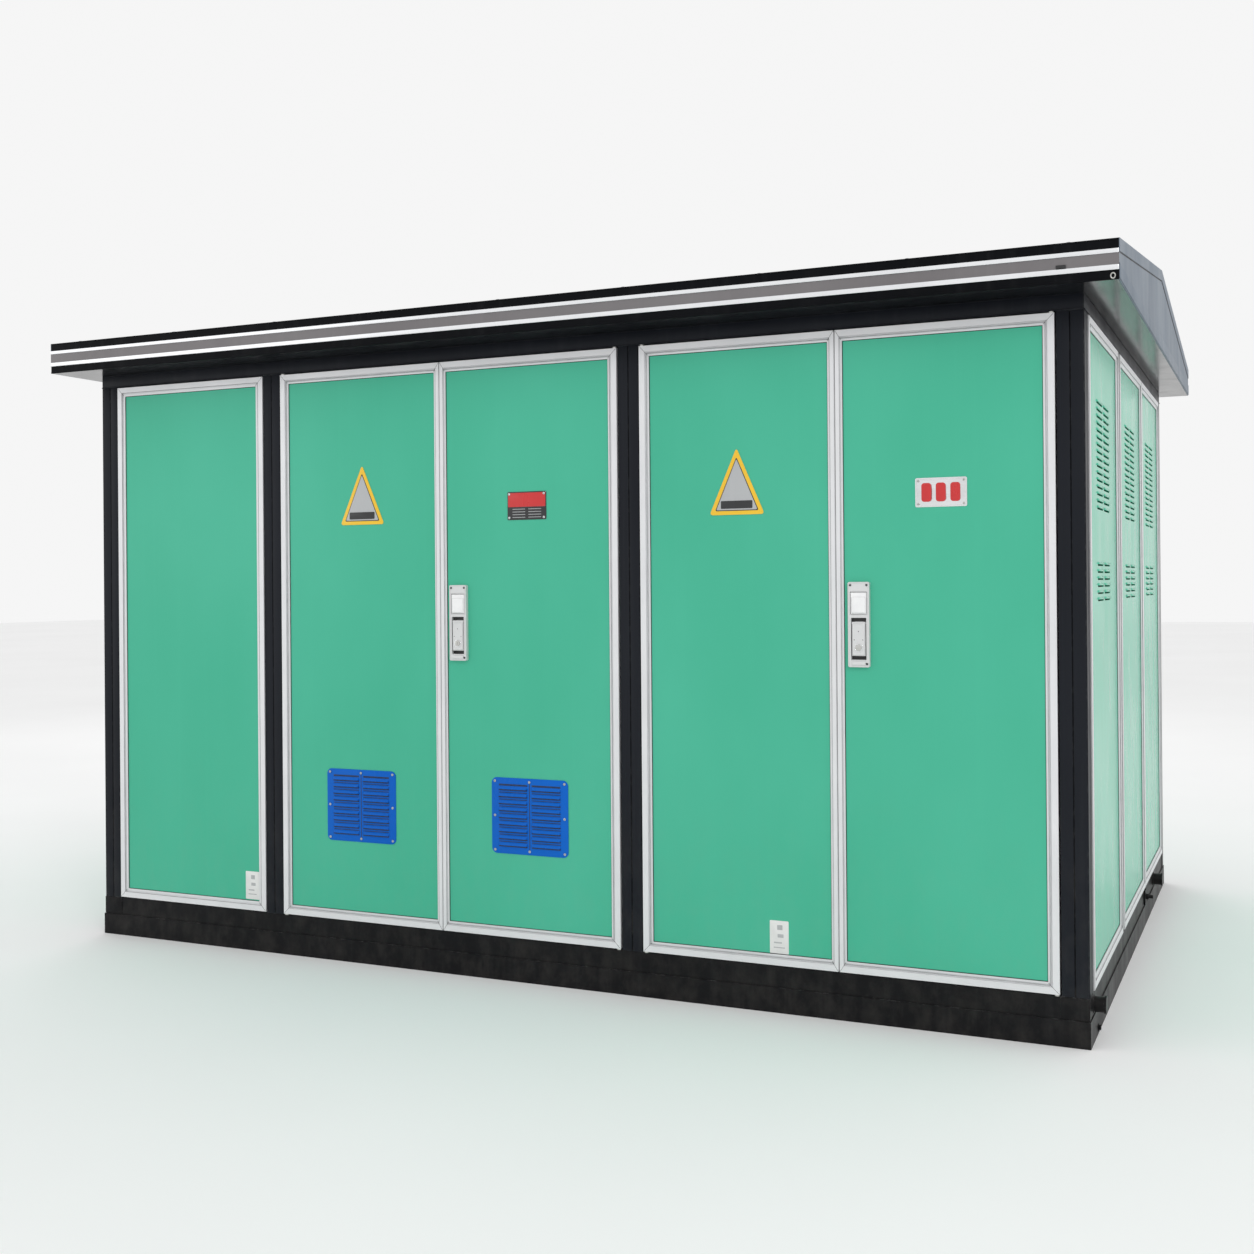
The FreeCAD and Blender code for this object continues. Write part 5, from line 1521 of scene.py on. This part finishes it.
# ----------------------------------------------------------------------------
# Equipment inside
# ----------------------------------------------------------------------------
def lathe(points: Sequence[tuple[float, float]], centre: Point, steps: int = 40) -> bpy.types.Object:
    """Turn a profile about a vertical axis.

    Args:
        points: Radius and height of each profile point, from bottom to top.
        centre: Foot of the axis.
        steps: Number of steps in the turn.

    Returns:
        The turned object, its ends closed on the axis.
    """
    deselect()
    start = (centre[0] + points[0][0], centre[1], centre[2] + points[0][1])
    bpy.ops.mesh.primitive_plane_add(size=0.001, location=start)
    piece = settle(bpy.context.object)
    bpy.ops.object.mode_set(mode="EDIT")
    bpy.ops.mesh.select_mode(type="VERT")
    bpy.ops.mesh.select_all(action="SELECT")
    bpy.ops.mesh.merge(type="CENTER")
    for before, after in zip(points, points[1:]):
        move = (after[0] - before[0], 0, after[1] - before[1])
        bpy.ops.mesh.extrude_region_move(TRANSFORM_OT_translate={"value": move})
    bpy.ops.mesh.select_all(action="SELECT")
    bpy.ops.mesh.spin(steps=steps, angle=2 * math.pi, center=centre, axis=(0, 0, 1))
    bpy.ops.mesh.select_all(action="SELECT")
    bpy.ops.mesh.remove_doubles(threshold=0.00005)
    bpy.ops.mesh.normals_make_consistent(inside=False)
    leave_edit()
    bpy.ops.object.shade_smooth_by_angle(angle=math.radians(35))
    return piece


@dataclass
class Transformer:
    """Detail on the oil-filled transformer."""

    centre: tuple[float, float] = (-0.285, -0.250)
    cover_top: float = 1.045
    hv: tuple[float, float, float, int] = (0.032, 0.058, 0.280, 6)
    lv: tuple[float, float, float, int] = (0.026, 0.038, 0.150, 3)
    out: float = 0.170
    cap: tuple[float, float] = (0.018, 0.080)
    cover: tuple[float, float] = (0.580, 1.060)

    def build(self) -> None:
        """Build bushings, cover bolts, gauge, valve and fin bars."""
        rows = {"hv_bushings": (-1, self.hv, [-0.45, -0.25, -0.05]),
                "lv_bushings": (1, self.lv, [-0.63, -0.51, -0.39, -0.27])}
        for node, (side, sizes, ys) in rows.items():
            self.build_bushings(node, side, sizes, ys)
        self.build_cover_bolts()
        self.build_gauge()
        self.build_valve()
        self.build_fin_bars()

    def build_bushings(self, node: str, side: int, sizes: tuple[float, float, float, int],
                       ys: Sequence[float]) -> None:
        """Glazed insulators with rounded sheds, and their bright caps."""
        body, shed, height, count = sizes
        x = self.centre[0] + side * self.out
        pitch = height / (count + 1)
        points = [(0.0, 0.0005), (body * 1.25, 0.0005), (body * 1.25, 0.010), (body, 0.016)]
        for i in range(count):
            z = (i + 1) * pitch
            points += [(body, z - 0.010), (shed - 0.002, z - 0.004), (shed, z - 0.001),
                       (shed - 0.002, z + 0.002), (body * 1.02, z + 0.012)]
        points += [(body * 0.95, height), (0.0, height)]
        ceramic = [lathe(points, (x, y, self.cover_top), 36) for y in ys]
        cap_r, cap_h = self.cap
        cap = [(0.0, 0.0), (cap_r * 1.2, 0.0), (cap_r * 1.2, 0.008), (cap_r, 0.010), (cap_r, cap_h - 0.004),
               (cap_r - 0.004, cap_h), (0.0, cap_h)]
        caps = [lathe(cap, (x, y, self.cover_top + height), 30) for y in ys]
        finish_piece(merge(ceramic), node + "_ceramic", "housing", Finish.PORCELAIN, (node,))
        finish_piece(merge(caps), node + "_caps", "housing", Finish.COPPER)

    def build_cover_bolts(self) -> None:
        """Bolts round the rim of the tank cover."""
        up = Matrix.Rotation(-math.pi / 2, 4, "X")
        half_x, half_y = self.cover[0] / 2 - 0.018, self.cover[1] / 2 - 0.018
        spots = []
        for i in range(-4, 5):
            spots += [(side * half_x, i * half_y / 4) for side in (-1, 1)]
        for i in range(-1, 2):
            spots += [(i * half_x / 2, side * half_y) for side in (-1, 1)]
        places = [shift(self.centre[0] + x, self.centre[1] + y, self.cover_top) @ up for x, y in spots]
        bolts = merge(repeat(bolt_head(0.009, 0.009), places))
        finish_piece(bolts, "cover_bolts", "housing", Finish.ZINC)

    def build_gauge(self) -> None:
        """An oil level gauge on the tank's front end."""
        x, y = self.centre[0], self.centre[1] - 0.500
        frame_ring = soften(barrel((x, y + 0.001, 0.86), (0, -1, 0), 0.045, 0.016, 40), 0.003, 3)
        carve(frame_ring, barrel((x, y - 0.010, 0.86), (0, -1, 0), 0.036, 0.02, 40))
        dial = soften(barrel((x, y - 0.006, 0.86), (0, -1, 0), 0.0355, 0.003, 40), 0.0006, 1)
        hand = soften(block((x - 0.0015, y - 0.0125, 0.86), (x + 0.0015, y - 0.0095, 0.888)), 0.0006, 1)
        finish_piece(frame_ring, "oil_gauge_ring", "housing", Finish.CHROME)
        finish_piece(dial, "oil_gauge_dial", "housing", Finish.LABEL_WHITE)
        finish_piece(hand, "oil_gauge_hand", "housing", Finish.LABEL_RED)

    def build_valve(self) -> None:
        """The drain valve low on the tank's front end."""
        x, y, z = self.centre[0] + 0.12, self.centre[1] - 0.500, 0.265
        parts = [soften(barrel((x, y + 0.001, z), (0, -1, 0), 0.034, 0.010, 28), 0.001, 2),
                 soften(barrel((x, y, z), (0, -1, 0), 0.017, 0.060, 24), 0.001, 2),
                 soften(barrel((x, y - 0.034, z), (0, 0, 1), 0.014, 0.045, 20), 0.001, 2)]
        outline = [(0.006, 0.000), (0.030, 0.000), (0.034, 0.004), (0.030, 0.008), (0.006, 0.008),
                   (0.006, 0.000)]
        wheel = lathe(outline, (x, y - 0.034, z + 0.045), 28)
        finish_piece(merge(parts), "drain_valve", "housing", Finish.COPPER)
        finish_piece(wheel, "drain_valve_wheel", "housing", Finish.LABEL_RED)

    def build_fin_bars(self) -> None:
        """Flat bars across the fins' outer edges, top and bottom."""
        bars = []
        for side in (-1, 1):
            face = self.centre[0] + side * 0.410
            for z in (0.345, 0.900):
                xs = sorted((face - side * 0.0005, face + side * 0.005))
                bars.append(soften(block((xs[0], -0.735, z - 0.014), (xs[1], 0.235, z + 0.014)), 0.0012, 2))
        finish_piece(merge(bars), "fin_bars", "housing", Finish.TANK_GREY)

    def dress(self) -> None:
        """Dress the transformer's CAD nodes."""
        WARDROBE.dress_nodes(Finish.TANK_GREY, ["transformer_tank", "cooling_fins", "tank_cover"])
        WARDROBE.dress_nodes(Finish.HANDLE, ["tap_knob"])
        WARDROBE.dress_nodes(Finish.CORE_STEEL, ["transformer_core"])
        WARDROBE.dress_nodes(Finish.COPPER, ["transformer_windings", "lv_busbars"])
        WARDROBE.dress_nodes(Finish.SHEATH, ["hv_conductors"])


@dataclass
class Switchgear:
    """Detail on the high-voltage gear and the low-voltage cubicle."""

    def build(self) -> None:
        """Build the detail of both rooms."""
        self.build_hv_covers()
        self.build_lv_front()
        self.build_breakers()

    def build_hv_covers(self) -> None:
        """Windows and screws on the three covers."""
        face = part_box("hv_switch_handle")[1].x
        windows, glass, places = [], [], []
        turn = Matrix.Rotation(-math.pi / 2, 4, "Z")
        for centre in (-0.5, 0.0, 0.5):
            for y in (centre - 0.225, centre + 0.225):
                for z in (0.22, 0.65, 1.10, 1.55):
                    places.append(shift(face, y, z) @ turn)
            frame_piece = block((face - 0.008, centre - 0.09, 1.34), (face, centre + 0.09, 1.50))
            soften(frame_piece, 0.003, 3)
            carve(frame_piece, block((face - 0.02, centre - 0.075, 1.355),
                                     (face - 0.003, centre + 0.075, 1.485)))
            windows.append(frame_piece)
            pane = block((face - 0.0042, centre - 0.0745, 1.3555), (face - 0.0028, centre + 0.0745, 1.4845))
            glass.append(soften(pane, 0.0004, 1))
        bolts = merge(repeat(bolt_head(0.006, 0.006), places))
        finish_piece(bolts, "hv_cover_bolts", "housing", Finish.ZINC)
        finish_piece(merge(windows), "hv_window_frames", "housing", Finish.HANDLE)
        finish_piece(merge(glass), "hv_window_panes", "housing", Finish.BREAKER)

    def build_lv_front(self) -> None:
        """Seams, meters and lamps on the low-voltage cubicle."""
        low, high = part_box("lv_cubicle")
        face = low.y
        panels, rims, dials, hands = [], [], [], []
        for z0, z1 in ((0.16, 0.66), (1.49, 1.66)):
            door = block((low.x + 0.02, face - 0.004, z0), (high.x - 0.02, face + 0.0005, z1))
            panels.append(soften(door, 0.0018, 3))
        for i in range(4):
            x = (low.x + high.x) / 2 + (i - 1.5) * 0.2
            rim = soften(block((x - 0.05, face - 0.014, 1.525), (x + 0.05, face - 0.0035, 1.625)), 0.004, 3)
            carve(rim, block((x - 0.043, face - 0.03, 1.532), (x + 0.043, face - 0.009, 1.618)))
            rims.append(rim)
            dial = block((x - 0.0425, face - 0.0105, 1.5325), (x + 0.0425, face - 0.0085, 1.6175))
            dials.append(soften(dial, 0.0005, 1))
            hand = block((x - 0.001, face - 0.0118, 1.545), (x + 0.001, face - 0.0100, 1.595))
            hands.append(soften(hand, 0.0004, 1))
        lamps = []
        for i, finish in enumerate((Finish.LABEL_RED, Finish.LABEL_YELLOW, Finish.LEAF_GREEN)):
            x = high.x - 0.28 + i * 0.06
            dome = barrel((x, face + 0.001, 1.40), (0, -1, 0), 0.014, 0.018, 24)
            lamps.append((soften(dome, 0.005, 4), finish))
        finish_piece(merge(panels), "lv_doors", "housing", Finish.CUBICLE_GREY)
        finish_piece(merge(rims), "lv_meter_rims", "housing", Finish.HANDLE)
        finish_piece(merge(dials), "lv_meter_dials", "housing", Finish.LABEL_WHITE)
        finish_piece(merge(hands), "lv_meter_hands", "housing", Finish.LABEL_BLACK)
        for index, (lamp, finish) in enumerate(lamps):
            finish_piece(lamp, "lv_lamp_%d" % (index + 1), "housing", finish)

    def build_breakers(self) -> None:
        """Toggles and terminal shields on the feeder breakers."""
        low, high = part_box("lv_cubicle")
        middle, face = (low.x + high.x) / 2, low.y - 0.080
        toggles, shields = [], []
        for i in range(6):
            x = middle + (i - 2.5) * 0.150
            toggle = block((x - 0.011, face - 0.020, 0.848), (x + 0.011, face + 0.001, 0.872))
            toggles.append(soften(toggle, 0.003, 3))
            shield = block((x - 0.030, face - 0.004, 0.825), (x + 0.030, face + 0.0005, 0.895))
            select_faces(shield, lambda f: f.normal.y < -0.9)
            bpy.ops.mesh.inset(thickness=0.006)
            bpy.ops.transform.translate(value=(0, 0.002, 0))
            leave_edit()
            shields.append(soften(shield, 0.001, 2))
        finish_piece(merge(toggles), "feeder_toggles", "housing", Finish.LABEL_WHITE)
        finish_piece(merge(shields), "feeder_shields", "housing", Finish.HANDLE)

    def dress(self) -> None:
        """Dress the switchgear's CAD nodes."""
        WARDROBE.dress_nodes(Finish.CUBICLE_GREY, ["hv_switchgear", "lv_cubicle"])
        WARDROBE.dress_nodes(Finish.BREAKER, ["lv_breakers"])
        WARDROBE.dress_nodes(Finish.HANDLE, ["hv_switch_handle", "lv_main_handle"])


# ----------------------------------------------------------------------------
# Studio
# ----------------------------------------------------------------------------
@dataclass
class Studio:
    """Pale floor, soft lights and the camera."""

    camera_at: Point = (2.2052, -5.2104, 1.2408)
    camera_turn: Point = (90.122, 0.462, 24.482)
    lens: float = 42.23
    shift: tuple[float, float] = (0.0007, -0.0372)
    sky: float = 0.92

    def build(self) -> None:
        """Build the floor, the lights and the camera."""
        self.build_floor()
        self.build_world()
        self.build_light("key", (5.5, -7.0, 5.6), 1.6, 110.0, (0.0, 0.0, 1.0))
        self.build_light("fill", (-7.0, -6.0, 3.5), 5.0, 30.0, (0.0, 0.0, 1.0))
        self.build_light("end_card", (8.0, 1.0, 3.0), 3.5, 40.0, (1.7, 0.0, 1.0))
        self.build_light("rear", (-4.0, 7.0, 5.0), 5.0, 80.0, (0.0, 0.0, 1.0))
        self.build_camera()

    def build_floor(self) -> None:
        """A wide pale floor."""
        deselect()
        bpy.ops.mesh.primitive_plane_add(size=80, location=(0, 0, -0.0005))
        floor = bpy.context.object
        floor.name = "studio_floor"
        settle(floor)
        make = Shader("studio_floor")
        cloud = make.span(make.noise((0.4, 0.4, 0.4), 3), (0.3, 0.7), (0.0, 1.0))
        make.link(make.mix(cloud, (0.90, 0.90, 0.90), (0.93, 0.93, 0.93)), make.surface.inputs["Base Color"])
        make.surface.inputs["Roughness"].default_value = 0.8
        floor.data.materials.append(make.material)

    def build_world(self) -> None:
        """Even, nearly white surroundings."""
        world = bpy.data.worlds.new("studio")
        bpy.context.scene.world = world
        world.use_nodes = True
        background = world.node_tree.nodes["Background"]
        background.inputs["Color"].default_value = (1.0, 1.0, 1.0, 1.0)
        background.inputs["Strength"].default_value = self.sky

    def build_light(self, name: str, place: Point, size: float, power: float, target: Point) -> None:
        """Add one soft square light that faces a target."""
        deselect()
        bpy.ops.object.light_add(type="AREA", location=place)
        lamp = bpy.context.object
        lamp.name = "light_" + name
        lamp.data.size = size
        lamp.data.energy = power
        lamp.rotation_euler = (Vector(target) - Vector(place)).to_track_quat("-Z", "Y").to_euler()

    def build_camera(self) -> None:
        """Add the camera and make it the scene's."""
        deselect()
        turn = [math.radians(angle) for angle in self.camera_turn]
        bpy.ops.object.camera_add(location=self.camera_at, rotation=turn)
        camera = bpy.context.object
        camera.data.lens = self.lens
        camera.data.sensor_width = 36.0
        camera.data.shift_x, camera.data.shift_y = self.shift
        camera.data.clip_end = 200.0
        bpy.context.scene.camera = camera


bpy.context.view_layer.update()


def main() -> None:
    """Build every sub-assembly in order."""
    logging.basicConfig(level=logging.INFO, format="%(name)s %(message)s")
    bpy.context.scene.view_settings.view_transform = "Standard"
    bays = Bays()
    bays.build()
    framed = FramedPanels(bays)
    steel, roof = SteelWork(), Roof()
    transformer, gear = Transformer(), Switchgear()
    locks = [PullLock("transformer_lock", bays.named("transformer_leaf_right")),
             PullLock("lv_lock", bays.named("lv_leaf_right")),
             PullLock("hv_lock", bays.named("hv_leaf_front"))]
    walls = (framed, VentPanels(bays), LouvrePlates(bays))
    for part in (*walls, steel, roof, Plates(bays), transformer, gear, *locks):
        LOG.info("building %s", type(part).__name__)
        part.build()
    for part in (framed, steel, roof, transformer, gear, *locks):
        part.dress()
    Studio().build()


if __name__ == "__main__":
    main()
